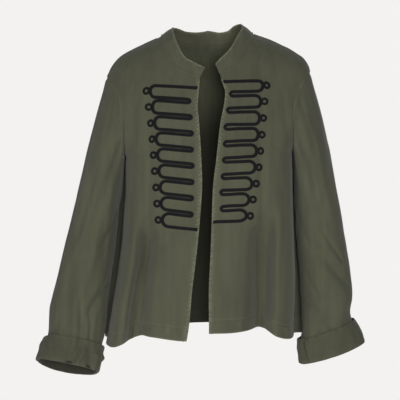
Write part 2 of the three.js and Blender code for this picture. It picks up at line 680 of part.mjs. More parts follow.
// The stand collar, sewn to the necklines of the right front, the back and the left front.
function collarRows() {
  const neckLevels = (side) => fronts[side.name].filter((row) => row[0].level > 1
    && row[0].point.z >= NECKLINE[0][side.name + "Z"] - 1);
  const frontSeam = (side) => neckLevels(side).map((row) => ({ edge: row[0], inside: row[1] }));
  const first = FRONT_COLUMNS;
  const top = back.at(-1);
  const under = back.at(-2);
  const rear = top.slice(first, lastColumn - first + 1)
    .map((edge, c) => ({ edge, inside: under[first + c] }));
  const rightSeam = frontSeam(RIGHT);
  const leftSeam = frontSeam(LEFT).reverse();
  rightSeam.pop();
  leftSeam.shift();
  const seam = [...rightSeam, ...rear, ...leftSeam];
  const middle = (seam.length - 1) / 2;
  const lengths = [0];
  for (let i = 1; i < seam.length; i += 1) {
    lengths.push(lengths[i - 1] + seam[i].edge.point.distanceTo(seam[i - 1].edge.point));
  }
  const half = lengths[Math.round(middle)];
  const rises = seam.map((_, i) => {
    const onRight = i <= middle;
    const share = onRight ? lengths[i] / half : (lengths.at(-1) - lengths[i]) / (lengths.at(-1) - half);
    const inward = read(COLLAR, "share", share, onRight ? "inRight" : "inLeft");
    const up = read(COLLAR, "share", share, onRight ? "upRight" : "upLeft");
    return new THREE.Vector3(onRight ? inward : -inward, read(COLLAR, "share", share, "back"), up);
  });
  const starts = seam.map(({ edge, inside }, i) => {
    const before = seam[Math.max(i - 1, 0)].edge.point;
    const after = seam[Math.min(i + 1, seam.length - 1)].edge.point;
    return seamStart(edge, inside, before, after, rises[i].clone().normalize());
  });
  const points = COLLAR_SHARES.map((share) => starts.map((start, i) => start.point.clone()
    .addScaledVector(rises[i], share)));
  return faceGrid(points, false, starts.map((start) => start.normal), -1);
}

// The place on a front's own facets at a distance from the middle and a height.
function onFront(side, x, z) {
  const rows = fronts[side.name];
  const at = side.sign * x;
  const hit = (a, b, c) => {
    const [pa, pb, pc] = [a.point, b.point, c.point];
    const area = (pb.x - pa.x) * (pc.z - pa.z) - (pc.x - pa.x) * (pb.z - pa.z);
    const wb = ((at - pa.x) * (pc.z - pa.z) - (pc.x - pa.x) * (z - pa.z)) / area;
    const wc = ((pb.x - pa.x) * (z - pa.z) - (at - pa.x) * (pb.z - pa.z)) / area;
    const wa = 1 - wb - wc;
    if (Math.min(wa, wb, wc) < -1e-9) return null;
    const blend = (field) => new THREE.Vector3().addScaledVector(a[field], wa)
      .addScaledVector(b[field], wb).addScaledVector(c[field], wc);
    return { point: blend("point"), normal: blend("normal").normalize() };
  };
  for (let r = 0; r < rows.length - 1; r += 1) {
    for (let c = 0; c < FRONT_COLUMNS; c += 1) {
      const [p, q] = [rows[r], rows[r + 1]];
      const found = hit(p[c], p[c + 1], q[c + 1]) || hit(p[c], q[c + 1], q[c]);
      if (found) return found;
    }
  }
  throw new Error(`no cloth under ${side.name} ${x} ${z}`);
}

// A flat braid laid on a front along a line of places, its section a low trapezium.
function braidStrip(side, places, closed, width, lift) {
  const count = places.length;
  const sections = places.map((place, i) => {
    const before = places[closed ? (i + count - 1) % count : Math.max(i - 1, 0)];
    const after = places[closed ? (i + 1) % count : Math.min(i + 1, count - 1)];
    const run = new THREE.Vector2(after.x - before.x, after.z - before.z).normalize();
    const edge = (offset, height) => {
      const spot = onFront(side, place.x - run.y * offset, place.z + run.x * offset);
      return spot.point.addScaledVector(spot.normal, BRAID_SEAT + lift(place) + height);
    };
    const half = width / 2;
    const top = half * BRAID_TOP;
    return [edge(-half, 0), edge(half, 0), edge(top, BRAID_HEIGHT), edge(-top, BRAID_HEIGHT)];
  });
  const positions = sections.flat().flatMap((point) => point.toArray());
  const indices = [];
  const spans = closed ? count : count - 1;
  for (let i = 0; i < spans; i += 1) {
    for (let k = 0; k < 4; k += 1) {
      const a = i * 4 + k;
      const b = i * 4 + ((k + 1) % 4);
      const c = ((i + 1) % count) * 4 + ((k + 1) % 4);
      const d = ((i + 1) % count) * 4 + k;
      indices.push(a, b, c, a, c, d);
    }
  }
  if (!closed) {
    const end = (count - 1) * 4;
    indices.push(0, 2, 1, 0, 3, 2, end, end + 1, end + 2, end, end + 2, end + 3);
  }
  const geometry = new THREE.BufferGeometry();
  geometry.setAttribute("position", new THREE.Float32BufferAttribute(positions, 3));
  geometry.setIndex(indices);
  return outward(geometry);
}

// The braid's path on one front: out along a line, round an eyelet, back, and round a narrow
// turn near the front edge, nine times.
function braidPath(side) {
  const eyelets = EYELETS[side.name];
  const { spacing, sag, topX, topZ, lastX, lastZ, inside } = FROGGING[side.name];
  const bands = eyelets.slice(0, -1).map((eyelet, k) => ({
    x: eyelet.lineEnd,
    z: (eyelet.z + eyelets[k + 1].z) / 2 - sag,
  }));
  const path = [{ x: topX, z: topZ }];
  const lineTo = (x, z) => {
    const from = path.at(-1);
    const steps = Math.max(Math.ceil(Math.hypot(x - from.x, z - from.z) / BRAID_STEP), 1);
    for (let i = 1; i <= steps; i += 1) {
      path.push({ x: mix(from.x, x, i / steps), z: mix(from.z, z, i / steps) });
    }
  };
  eyelets.forEach((eyelet, k) => {
    const above = k === 0 ? topZ + sag : (eyelet.z + eyelets[k - 1].z) / 2 - spacing / 2;
    const below = k === eyelets.length - 1 ? lastZ + sag : (eyelet.z + eyelets[k + 1].z) / 2 + spacing / 2;
    const length = mix(BEND_LENGTH.first, BEND_LENGTH.last, k / (eyelets.length - 1));
    const apex = eyelet.x - inside;
    const start = apex - length;
    lineTo(start, above);
    for (let i = 1; i <= BEND_STEPS; i += 1) {
      const angle = (Math.PI * i) / BEND_STEPS;
      const height = Math.cos(angle) > 0 ? above - eyelet.z : eyelet.z - below;
      path.push({ x: start + length * Math.sin(angle), z: eyelet.z + height * Math.cos(angle) });
    }
    if (k === eyelets.length - 1) {
      lineTo(lastX, lastZ);
      return;
    }
    const band = bands[k];
    lineTo(band.x + spacing / 2, band.z + spacing / 2);
    for (let i = 1; i <= TURN_STEPS; i += 1) {
      const angle = (Math.PI * i) / TURN_STEPS;
      path.push({
        x: band.x + spacing / 2 - (spacing / 2) * Math.sin(angle),
        z: band.z + (spacing / 2) * Math.cos(angle),
      });
    }
  });
  return path;
}

// One eyelet: a ring of the same braid that crosses over the bend it grows from.
function eyeletRing(side, eyelet) {
  const places = Array.from({ length: RING_STEPS }, (_, i) => {
    const angle = (2 * Math.PI * i) / RING_STEPS;
    return { x: eyelet.x - RING_RADIUS * Math.cos(angle), z: eyelet.z + RING_RADIUS * Math.sin(angle), angle };
  });
  const over = BRAID_HEIGHT + BRAID_SEAT;
  const lift = ({ angle }) => over * smooth((Math.cos(angle) - RING_LIFT.from) / RING_LIFT.over);
  return braidStrip(side, places, true, RING_BAND, lift);
}

for (const side of SIDES) add(`front_${side.name}`, wall(fronts[side.name], CLOTH, false), OLIVE);
add("back_panel", wall(back, CLOTH, false), OLIVE);
for (const side of SIDES) add(`sleeve_${side.name}`, wall(sleeveRows(side), CLOTH, true), OLIVE);
for (const side of SIDES) add(`cuff_${side.name}`, wall(cuffRows(side), TURNED_CLOTH, true), OLIVE);
add("collar", wall(collarRows(), TURNED_CLOTH, false), OLIVE);
for (const side of SIDES) {
  add(`braid_${side.name}`, braidStrip(side, braidPath(side), false, BRAID_WIDTH, () => 0), BLACK);
  EYELETS[side.name].forEach((eyelet, k) => {
    add(`eyelet_${side.name}_${k + 1}`, eyeletRing(side, eyelet), BLACK);
  });
}

export default model;
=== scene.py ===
import logging
import math
from collections.abc import Callable
from dataclasses import dataclass, field
from enum import Enum, IntEnum

import bpy
import numpy as np
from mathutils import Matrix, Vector


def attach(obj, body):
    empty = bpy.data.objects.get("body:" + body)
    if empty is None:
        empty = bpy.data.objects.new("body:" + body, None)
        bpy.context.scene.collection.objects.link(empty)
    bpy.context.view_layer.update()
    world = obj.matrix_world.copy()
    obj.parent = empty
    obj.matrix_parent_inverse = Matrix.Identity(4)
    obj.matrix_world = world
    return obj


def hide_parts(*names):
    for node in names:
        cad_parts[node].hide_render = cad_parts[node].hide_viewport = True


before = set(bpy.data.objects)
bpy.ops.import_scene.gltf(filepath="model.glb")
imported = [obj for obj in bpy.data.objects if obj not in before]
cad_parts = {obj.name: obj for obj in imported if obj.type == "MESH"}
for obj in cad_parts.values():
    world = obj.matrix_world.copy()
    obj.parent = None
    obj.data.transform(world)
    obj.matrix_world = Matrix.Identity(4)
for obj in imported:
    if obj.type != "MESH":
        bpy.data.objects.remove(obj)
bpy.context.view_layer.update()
LOG = logging.getLogger("jacket")
Array = np.ndarray

# Every shape is worked out in millimetres, on grids of points, and put into its mesh in metres.
MM = 0.001

# Driving sizes
CLOTH = 1.6
TURNED_CLOTH = 2.2
SEAM_GAP = 0.3
SEAM_OFFSET = 1.3
UNDERARM_Z = -240.0
UNDERARM_TILT = 0.03
MEAN_HEM_Z = -600.0
FRONT_SHOULDER_POWER = 2.1
BACK_SHOULDER_POWER = 2.6
FORWARD_SEAM = 0.985
NECK_SHARE = 0.36
FOLD_ONSET = 2.0
HEM_TURN = 25.0
EDGE_BAND = 9.0
CLOSE_SHARE = 0.085
ROW_EASE = 1.25

# The levels of the forward shoulder seam, on the fronts and on the back that comes over to it.
FRONT_TOP = 1 + FORWARD_SEAM
BACK_TOP = 3 - FORWARD_SEAM

# A surface's slopes are read over this step of share or level.
SLOPE_STEP = 1e-3

# Where a piece is sewn on, the panel's slope off its edge is read this many points in.
SEAM_INSIDE = 3
NECK_INSIDE = 4

# A cloth's edge rolls round in two steps.
ROLL_TURNS = (math.pi / 4, math.pi / 2)


class Seed(IntEnum):
    """Where each piece's noise starts. A piece that has two adds its side's sign."""

    FRONT = 10
    BACK = 21
    HEM = 40
    BACK_HEM = 44
    EDGE = 60
    SLEEVE = 80
    CUFF = 120
    COLLAR = 150
    BRAID = 170


class Named(Enum):
    """A choice whose value is the sign of its axis."""

    @property
    def word(self) -> str:
        """The name in small letters, as tables and nodes have it."""
        return self.name.lower()

    @property
    def sign(self) -> int:
        """The sign of the axis."""
        return int(self.value)


class Side(Named):
    """The wearer's side that a piece is on, along X."""

    RIGHT = -1
    LEFT = 1


class Face(Named):
    """Which face of the torso a point is on, along Y."""

    FRONT = -1
    BACK = 1


@dataclass(frozen=True)
class Table:
    """Named columns of sizes, read as smooth curves."""

    names: str
    rows: tuple[tuple[float, ...], ...]

    def column(self, name: str) -> Array:
        """One column as an array."""
        place = self.names.split().index(name)
        return np.array([row[place] for row in self.rows], float)

    def records(self) -> list[dict[str, float]]:
        """The rows as dictionaries, for tables that are walked row by row."""
        return [dict(zip(self.names.split(), row)) for row in self.rows]

    def on(self, side: Side) -> list[dict[str, float]]:
        """The rows whose side is the one given."""
        return [row for row in self.records() if row["side"] == side.sign]

    def read(self, key: str, name: str, at: Array) -> Array:
        """Reads a column at places of a rising key column, held at both ends.

        Each span is the cubic that meets its two values with the slope of the line through
        the neighbours on either side.

        Args:
            key: The rising column.
            name: The column that is read.
            at: Places along the key.

        Returns:
            The values, in the shape of at.
        """
        keys, values = self.column(key), self.column(name)
        order = np.arange(len(keys))
        low, high = np.maximum(order - 1, 0), np.minimum(order + 1, len(keys) - 1)
        slopes = (values[high] - values[low]) / (keys[high] - keys[low])
        held = np.clip(np.asarray(at, float), keys[0], keys[-1])
        i = np.clip(np.searchsorted(keys, held) - 1, 0, len(keys) - 2)
        span = keys[i + 1] - keys[i]
        t = (held - keys[i]) / span
        start, end = 2 * t**3 - 3 * t**2 + 1, 3 * t**2 - 2 * t**3
        bends = (t**3 - 2 * t**2 + t) * slopes[i] + (t**3 - t**2) * slopes[i + 1]
        return start * values[i] + end * values[i + 1] + bends * span


# Torso section by level: 0 is the hem, 1 the underarm, 2 the shoulder line. power is how
# square the section is; past_right and past_left, how far the back's sides stand out past it.
SECTION = Table("level right left front back power past_right past_left", (
    (0.0, 205, 176, 112, 116, 3.0, 24, 27),
    (0.2, 194, 177, 113, 116, 3.2, 31, 37),
    (0.4, 182, 177, 113, 115, 3.2, 34, 33),
    (0.6, 172, 175, 113, 114, 3.2, 34, 26),
    (0.8, 167, 173, 114, 113, 3.2, 30, 24),
    (0.92, 167.5, 173, 115, 113, 3.1, 20, 17),
    (0.965, 168, 172.5, 115, 113, 3.05, 15, 9),
    (1.0, 168, 172.5, 115, 113, 3.0, 0, 0),
    (1.15, 184, 187, 115, 113, 2.6, 0, 0),
    (1.3, 197, 199, 115, 113, 2.5, 0, 0),
    (1.6, 211, 213, 114, 112, 2.5, 0, 0),
    (2.0, 228, 230, 112, 110, 2.5, 0, 0),
))

# Shoulder line: its height and its place from front to back, by distance from the middle.
SHOULDER = Table("x right left y", (
    (0, 11, 12, 8),
    (84, 10, 12, 8),
    (100, 1, 7, 7),
    (128, -12, -3, 5),
    (164, -30, -20, 3),
    (180, -41, -30, 2),
    (195, -59, -42, 1),
    (206, -83, -62, 0),
    (214, -104, -88, 0),
))

# Armhole edge: distance from the middle, by rise from the underarm to the shoulder line.
ARMHOLE = Table("rise right left", (
    (0.0, 168, 172.5),
    (0.29, 168, 171),
    (0.46, 170, 172),
    (0.63, 179, 181),
    (0.81, 194, 196),
    (1.0, 205, 209),
))

# Front edges, open: distance of each from the middle, by height.
FRONT_EDGE = Table("z right left", (
    (-620, 46, 2.8),
    (-570, 37.5, 2.8),
    (-507, 32, 2.8),
    (-440, 23.5, 6),
    (-365, 16, 8.5),
    (-304, 12, 11),
    (-250, 13.5, 17.5),
    (-180, 18, 25.5),
    (-145, 20.5, 32.5),
    (-118, 18.5, 34.5),
    (-96, 16.5, 27),
))

# Front neckline, from the front edge up to the shoulder line.
NECKLINE = Table("right right_z left left_z", (
    (16.5, -91, 25, -88),
    (33, -87, 36, -80),
    (60, -76, 53, -68),
    (77, -54, 67, -53),
    (87, -33, 78, -35),
    (93, -14, 88, -17),
    (95, -5, 94, -6),
))

# Back neckline: rise by share of the way from the neck point to the centre back.
BACK_NECK = Table("share rise", ((0.0, 1.0), (0.25, 0.975), (0.5, 0.935), (0.75, 0.915), (1.0, 0.91)))

# Hem height by distance from the middle, fronts then back.
HEM = Table("x right left back", (
    (0, -606, -593, -594),
    (45, -608, -592, -595),
    (86, -604, -589, -598),
    (112, -601, -588, -601),
    (135, -600, -600, -604),
    (165, -616, -608, -607),
    (190, -624, -602, -608),
    (205, -622, -602, -616),
))

# Large folds of the fronts. share runs from the front edge to the side seam at the fold's
# head and at the hem; near and far are its widths toward the front edge and the side.
FRONT_FOLDS = Table("side head hem start near far depth", (
    (-1, 0.35, 0.43, 0.76, 0.12, 0.05, -42),
    (-1, 0.5, 0.62, 0.9, 0.08, 0.2, 9),
    (-1, 0.2, 0.18, 0.6, 0.07, 0.09, -5),
    (1, 0.35, 0.325, 0.74, 0.13, 0.05, -54),
    (1, 0.5, 0.47, 0.9, 0.08, 0.2, 8),
    (1, 0.86, 0.9, 0.7, 0.08, 0.06, -8),
))

# Large folds of the back. share runs from the right side seam, 0, to the left one, 1.
BACK_FOLDS = Table("head hem start width depth", (
    (0.2, 0.14, 0.85, 0.05, -22),
    (0.3, 0.27, 0.8, 0.06, 12),
    (0.4, 0.38, 0.7, 0.045, -16),
    (0.56, 0.57, 0.75, 0.07, 10),
    (0.66, 0.69, 0.8, 0.05, -20),
    (0.82, 0.86, 0.7, 0.06, 16),
))

# Small creases of the fronts, each a valley (or, above 0, a ridge) along a line from x0, z0
# to x1, z1, with its widths toward the front edge and toward the side.
FRONT_CREASES = Table("side x0 z0 x1 z1 near far depth", (
    (-1, 117, -137, 118, -361, 9, 5, -1.6),
    (-1, 137, -127, 150, -226, 7, 9, -1.8),
    (-1, 94, -420, 92, -508, 9, 9, -2.2),
    (-1, 152, -150, 156, -330, 8, 8, -2.4),
    (-1, 60, -392, 96, -432, 6, 6, -1.4),
    (-1, 30, -280, 62, -262, 5, 5, -0.9),
    (-1, 70, -520, 66, -600, 9, 9, 2.2),
    (-1, 112, -20, 128, -70, 7, 7, -1.5),
    (1, 106, -20, 106, -82, 8, 6, -2.2),
    (1, 131, -224, 156, -242, 5, 5, -1.3),
    (1, 118, -146, 122, -372, 6, 9, 1.2),
    (1, 148, -300, 160, -430, 9, 9, -1.8),
    (1, 40, -420, 52, -560, 9, 12, 1.6),
    (1, 96, -180, 112, -420, 9, 9, -1.2),
    (1, 150, -120, 160, -210, 7, 8, -1.8),
    (1, 105, -390, 108, -640, 20, 2.5, -15),
    (1, 108, -130, 112, -390, 14, 4, -2.6),
    (-1, 121, -400, 146, -640, 17, 2.5, -12),
    (-1, 112, -130, 121, -400, 14, 4, -2.6),
    (1, 62, -440, 66, -640, 12, 12, -1.6),
    (-1, 40, -440, 44, -640, 10, 12, -1.5),
))

# Sleeve rings from the armhole to the hand: the outer and inner ends of each in the front
# view, its middle from front to back, half its depth, and how far its back drops.
SLEEVE_RINGS = {
    Side.RIGHT: Table("run out_x out_z in_x in_z y half drop", (
        (0.0, 206, -82, 170, -244, 2, 86, 0),
        (0.12, 224, -145, 171, -266, 2, 84, 0),
        (0.24, 243, -218, 174, -304, 4, 78, 0),
        (0.36, 259, -286, 182, -346, 6, 72, 0),
        (0.48, 275, -352, 186, -392, 7, 66, 0),
        (0.6, 290, -415, 192, -444, 5, 61, 2),
        (0.72, 305, -480, 199, -500, 0, 57, 5),
        (0.86, 321, -548, 207, -566, -8, 52, 10),
        (0.93, 325, -606, 214, -622, -13, 47, 16),
        (1.0, 345, -657, 223, -678, -18, 44, 21),
    )),
    Side.LEFT: Table("run out_x out_z in_x in_z y half drop", (
        (0.0, 208, -67, 175, -234, 2, 86, 0),
        (0.12, 229, -141, 175.5, -258, 2, 84, 0),
        (0.24, 247, -216, 177, -300, 4, 78, 0),
        (0.36, 261, -288, 179, -346, 6, 72, 0),
        (0.48, 274, -352, 182, -394, 7, 66, 0),
        (0.6, 283, -414, 186, -450, 5, 61, 1),
        (0.72, 292, -470, 189, -504, 0, 57, 1),
        (0.86, 296, -530, 192, -560, -8, 52, 0),
        (0.93, 292, -568, 192, -606, -13, 47, -1),
        (1.0, 316, -618, 189, -661, -18, 44, -2),
    )),
}

# Sleeve creases, the large ones first: run and turn of both ends, their width and depth.
# turn is in degrees round the ring: 0 outer, 90 back, 180 inner, 270 front.
SLEEVE_CREASES = Table("side run0 turn0 run1 turn1 wide depth", (
    (-1, 0.12, 236, 0.5, 264, 15, -6),
    (-1, 0.7, 300, 0.93, 285, 15, -7),
    (-1, 0.74, 205, 0.9, 250, 14, -6),
    (-1, 0.5, 150, 0.72, 80, 18, -7),
    (1, 0.1, 236, 0.45, 260, 15, -6),
    (1, 0.58, 250, 0.8, 320, 14, -5),
    (1, 0.8, 200, 0.92, 270, 14, -5),
    (1, 0.45, 150, 0.7, 90, 18, -7),
    (-1, 0.3, 285, 0.55, 300, 9, -2.0),
    (-1, 0.84, 262, 0.97, 250, 6, -4.2),
    (-1, 0.86, 236, 0.97, 228, 6, -3.6),
    (-1, 0.9, 310, 0.98, 330, 7, -2.6),
    (-1, 0.55, 250, 0.8, 262, 10, 2.4),
    (-1, 0.3, 60, 0.5, 110, 10, -3.0),
    (-1, 0.8, 60, 0.95, 110, 8, -3.4),
    (-1, 0.05, 300, 0.2, 290, 10, -2.0),
    (-1, 0.4, 205, 0.56, 232, 8, -2.6),
    (1, 0.5, 262, 0.66, 308, 6, -3.0),
    (1, 0.85, 262, 0.97, 250, 7, -3.0),
    (1, 0.66, 215, 0.8, 245, 8, -3.0),
    (1, 0.3, 280, 0.5, 285, 9, -2.0),
    (1, 0.3, 60, 0.5, 110, 10, -3.0),
    (1, 0.8, 60, 0.95, 110, 8, -3.4),
    (1, 0.05, 300, 0.22, 285, 10, -2.0),
    (1, 0.4, 205, 0.55, 230, 8, -2.6),
))

# Where the cuff reaches up to along the sleeve, how far its lip and its wall stand off it, and
# the least distance that a crumple leaves.
CUFF_FROM = 0.94
CUFF_LIP = TURNED_CLOTH + SEAM_GAP * 2
CUFF_CLEAR = TURNED_CLOTH + SEAM_GAP * 4
CUFF_LEAST = CUFF_CLEAR - 2

# The turned-up cuff's section, from the lip under the sleeve's end round the bottom fold and
# up: share of the way up the sleeve, distance out from the sleeve, and drop below its end.
CUFF_PROFILE = Table("along up out down", (
    (0.0, 0, -CLOTH, CUFF_LIP),
    (0.06, 0, SEAM_GAP, CUFF_LIP),
    (0.12, 0, CUFF_LIP, CUFF_LIP * 0.6),
    (0.22, 0.12, CUFF_CLEAR + 0.8, 0),
    (0.58, 0.55, CUFF_CLEAR + 2, 0),
    (1.0, 0.98, CUFF_CLEAR + 3.5, 0),
))

# How far a cuff's front sags, how far round from its middle, and how much its outer face is
# darkened toward the painted inside shade colour, for the cloth's darker wrong side.
CUFF_SAG = {Side.RIGHT: 8.5, Side.LEFT: 1.5}
CUFF_SAG_TURN = 12.0
CUFF_SHADE = 0.28

# Creases of the cuffs: turn and height up the cuff of both ends, their width and depth.
CUFF_CREASES = Table("side turn0 up0 turn1 up1 wide depth", (
    (-1, 274, 1.0, 266, 0.2, 5, -1.8),
    (-1, 250, 0.7, 262, 0.12, 4, -4.6),
    (-1, 240, 0.66, 250, 0.1, 4, 5.4),
    (-1, 226, 0.5, 224, 0.1, 3.4, -5.5),
    (-1, 214, 0.6, 211, 0.1, 3.4, 5.6),
    (-1, 202, 0.8, 200, 0.12, 3.6, -5.5),
    (-1, 190, 0.5, 185, 0.62, 5, 5.5),
    (-1, 330, 0.9, 338, 0.2, 6, -1.6),
    (1, 210, 1.0, 217, 0.1, 4, -6.0),
    (1, 224, 0.95, 229, 0.1, 3.4, 5.4),
    (1, 196, 0.9, 200, 0.15, 6, 2.4),
    (1, 262, 0.9, 250, 0.3, 7, -1.4),
    (1, 320, 0.9, 310, 0.25, 8, 1.6),
    (1, 100, 0.9, 110, 0.2, 6, -2.4),
    (-1, 100, 0.9, 90, 0.2, 6, -2.4),
))

# Collar: how far its top edge lies inward, back and up from its seam, by share of the way
# from the front end to the centre back.
COLLAR = Table("share in_right in_left back up_right up_left", (
    (0.0, 10, 11, 4, 21, 24),
    (0.12, 16, 17, 6, 25, 26),
    (0.3, 21, 21, 7, 26, 26),
    (0.5, 25, 24, 5, 20, 22),
    (0.65, 21, 22, 2, 19, 23),
    (0.82, 10, 10, -2, 26, 27),
    (1.0, 0, 0, -4, 33.5, 33.5),
))

# Frogging: the nine eyelets of each front, and the ends of the eight doubled lines between
# them, as distances from the middle and heights. The last eyelet has no line below it.
EYELETS = {
    Side.RIGHT: Table("x z line_end", (
        (121, -117, 34.5),
        (116.5, -149, 32),
        (112, -181, 29.5),
        (109, -212.5, 29.5),
        (106, -244, 28),
        (103.5, -275.5, 28.5),
        (101, -307.5, 29),
        (99, -339, 30),
        (96.5, -371, 0),
    )),
    Side.LEFT: Table("x z line_end", (
        (116, -106, 44),
        (111.5, -138, 37.5),
        (109, -171, 33),
        (106, -204, 31.5),
        (103, -236, 29.5),
        (99.5, -268, 27.5),
        (94, -300, 25),
        (88, -331, 25),
        (82.5, -363, 0),
    )),
}


@dataclass(frozen=True)
class Lay:
    """How the braid of one front is laid: spacing of a doubled line, its sag, and its ends."""

    spacing: float
    sag: float
    top_x: float
    top_z: float
    last_x: float
    last_z: float
    inside: float = 7.4
    first_bend: float = 9.0
    last_bend: float = 13.0


FROGGING = {
    Side.RIGHT: Lay(7.0, 5.5, 21, -112, 21, -390),
    Side.LEFT: Lay(8.8, 2.0, 31, -99, 11, -375),
}


def smooth(t: Array) -> Array:
    """Eases from 0 to 1 as t goes from 0 to 1: 3t squared less 2t cubed."""
    held = np.clip(t, 0, 1)
    return held * held * (3 - 2 * held)


def mix(a: Array, b: Array, t: Array) -> Array:
    """The value t of the way from a to b."""
    return a + (b - a) * t


def bell(distance: Array, near: float, far: float) -> Array:
    """A bell of 1 at 0: e to the minus squared distance over the width on its own side."""
    return np.exp(-((distance / np.where(distance < 0, near, far)) ** 2))


@dataclass(frozen=True)
class Ramp:
    """An eased rise from 0 to 1 from a start over a distance, which is negative for a fall."""

    start: float
    over: float

    def at(self, x: Array) -> Array:
        """The rise at x."""
        return smooth((x - self.start) / self.over)


@dataclass(frozen=True)
class Bell:
    """A bell: its middle, its height there, and its widths before and after it."""

    middle: float
    height: float
    near: float
    far: float

    def at(self, x: Array) -> Array:
        """The bell at x."""
        return self.height * bell(x - self.middle, self.near, self.far)


# The back's sides stand out past the section from a depth on, and its neck spreads to the
# front's from the underarm's level up.
PAST = Ramp(22, 42)
NECK_SPREAD = Ramp(1, 0.9)

# Folds and creases fade out at the side seams, by share. The stitched edge ends below the
# collar's seam, and the inner face gets painted shade below the neck, darker further down, by height.
FRONT_SEAM = Ramp(1, -0.06)
BACK_SEAM = Ramp(0, 0.05)
EDGE_END = Ramp(-92, -8)
INSIDE_PAINTED_SHADE = Ramp(-70, -150)


def unit(vectors: Array) -> Array:
    """Vectors of length 1 along the last axis."""
    return vectors / np.maximum(np.linalg.norm(vectors, axis=-1, keepdims=True), 1e-12)


def rumple(seed: int, u: Array, v: Array) -> Array:
    """Smooth noise from -1 to 1.

    A lattice of seeded random numbers at unit spacing, eased between its four corners.

    Args:
        seed: Which lattice.
        u: First coordinate, in lattice steps.
        v: Second coordinate, in lattice steps.

    Returns:
        The noise, in the broadcast shape of u and v.
    """
    size = 64
    lattice = np.random.default_rng(seed).uniform(-1, 1, (size, size))
    u, v = np.broadcast_arrays(np.asarray(u, float), np.asarray(v, float))
    a, b = np.floor(u).astype(int), np.floor(v).astype(int)
    s, t = smooth(u - a), smooth(v - b)
    a0, b0, a1, b1 = a % size, b % size, (a + 1) % size, (b + 1) % size
    low = mix(lattice[a0, b0], lattice[a1, b0], s)
    return mix(low, mix(lattice[a0, b1], lattice[a1, b1], s), t)


@dataclass(frozen=True)
class Ripple:
    """One size of soft unevenness: its seed's shift, height, and lengths across and along."""

    shift: int
    height: float
    across: float
    along: float

    def at(self, seed: int, u: Array, v: Array) -> Array:
        """The unevenness at distances across and along the cloth."""
        return self.height * rumple(seed + self.shift, u / self.across, v / self.along)


# Soft unevenness of each piece. The cuffs' and the collar's second distance is a share.
FRONT_RIPPLES = (Ripple(0, 1.3, 34, 120), Ripple(5, 0.6, 15, 44))
BACK_RIPPLES = (Ripple(0, 1.6, 38, 120), Ripple(1, 0.7, 16, 46))
SLEEVE_RIPPLES = (Ripple(0, 1.5, 32, 100), Ripple(3, 0.8, 15, 38))
SLEEVE_END_RIPPLE = Ripple(6, 2.2, 26, 22)
SLEEVE_CAP_RIPPLE = Ripple(9, 1.0, 8, 60)
CUFF_RIPPLES = (Ripple(0, 2.4, 24, 0.625), Ripple(4, 1.2, 11, 1 / 3))
COLLAR_RIPPLE = Ripple(0, 0.3, 40, 0.5)
HEM_RIPPLE = Ripple(1, 1.3, 26, 60)


def uneven(ripples: tuple[Ripple, ...], seed: int, u: Array, v: Array) -> Array:
    """The sum of several sizes of unevenness."""
    return sum(ripple.at(seed, u, v) for ripple in ripples)


def fray(seed: int, along: Array, length: float, depth: float) -> Array:
    """Uneven wear along an edge: 1 where it is strongest, and down to 1 less twice the depth."""
    return 1 - depth + depth * rumple(seed, along / length, 0)


def closed_up(values: Array, closed: bool, axis: int = 0) -> Array:
    """The values with their first row or column again at the end, where they close."""
    return np.concatenate([values, np.take(values, [0], axis)], axis) if closed else values


def turn_gap(turn: Array, centre: Array) -> Array:
    """How far a turn is past another, from -180 to 180 degrees."""
    return (turn - centre + 540) % 360 - 180


def grid_normals(points: Array, closed: bool = False, sense: float = 1.0) -> Array:
    """Unit normals of a grid: the cross product of its column step and its row step.

    Args:
        points: Rows by columns by 3.
        closed: Whether the columns close on themselves.
        sense: 1, or -1 to turn the normals round.

    Returns:
        The normals, in the shape of points.
    """
    wide = np.concatenate([points[:, -1:], points, points[:, :1]], 1) if closed else points
    normal = unit(np.cross(np.gradient(wide, axis=1), np.gradient(wide, axis=0))) * sense
    return normal[:, 1:-1] if closed else normal


def underarm(x: Array) -> Array:
    """Height of the underarm line at x."""
    return UNDERARM_Z + UNDERARM_TILT * x


def fullness(ratio: Array, power: float) -> Array:
    """Depth of a superellipse, 1 at the middle and 0 at the side."""
    return (1 - np.clip(np.abs(ratio), 0, 1) ** power) ** (1 / power)


def angle_of(ratio: Array, power: Array) -> Array:
    """The superellipse's angle at a ratio of its width."""
    return np.arcsin(np.clip(ratio, 0, 1) ** (power / 2))


def inner_edge(side: Side, level: Array) -> Array:
    """Distance of the front's inner edge from the middle: the open edge, then the neckline."""
    low = underarm(0)
    top = SHOULDER.read("x", side.word, 0)
    z = np.where(level <= 1, mix(MEAN_HEM_Z, UNDERARM_Z, level), low + (level - 1) * (top - low))
    neck = Table("z x", tuple(zip(NECKLINE.column(side.word + "_z"), NECKLINE.column(side.word))))
    first = NECKLINE.column(side.word + "_z")[0]
    open_edge = FRONT_EDGE.read("z", side.word, z)
    return np.where((level > 1) & (z > first), neck.read("z", "x", z), open_edge)


def armhole_edge(side: Side, level: Array) -> Array:
    """Distance of the side seam, then of the armhole, from the middle."""
    seam = SECTION.read("level", side.word, level)
    return np.where(level <= 1, seam, ARMHOLE.read("rise", side.word, level - 1))


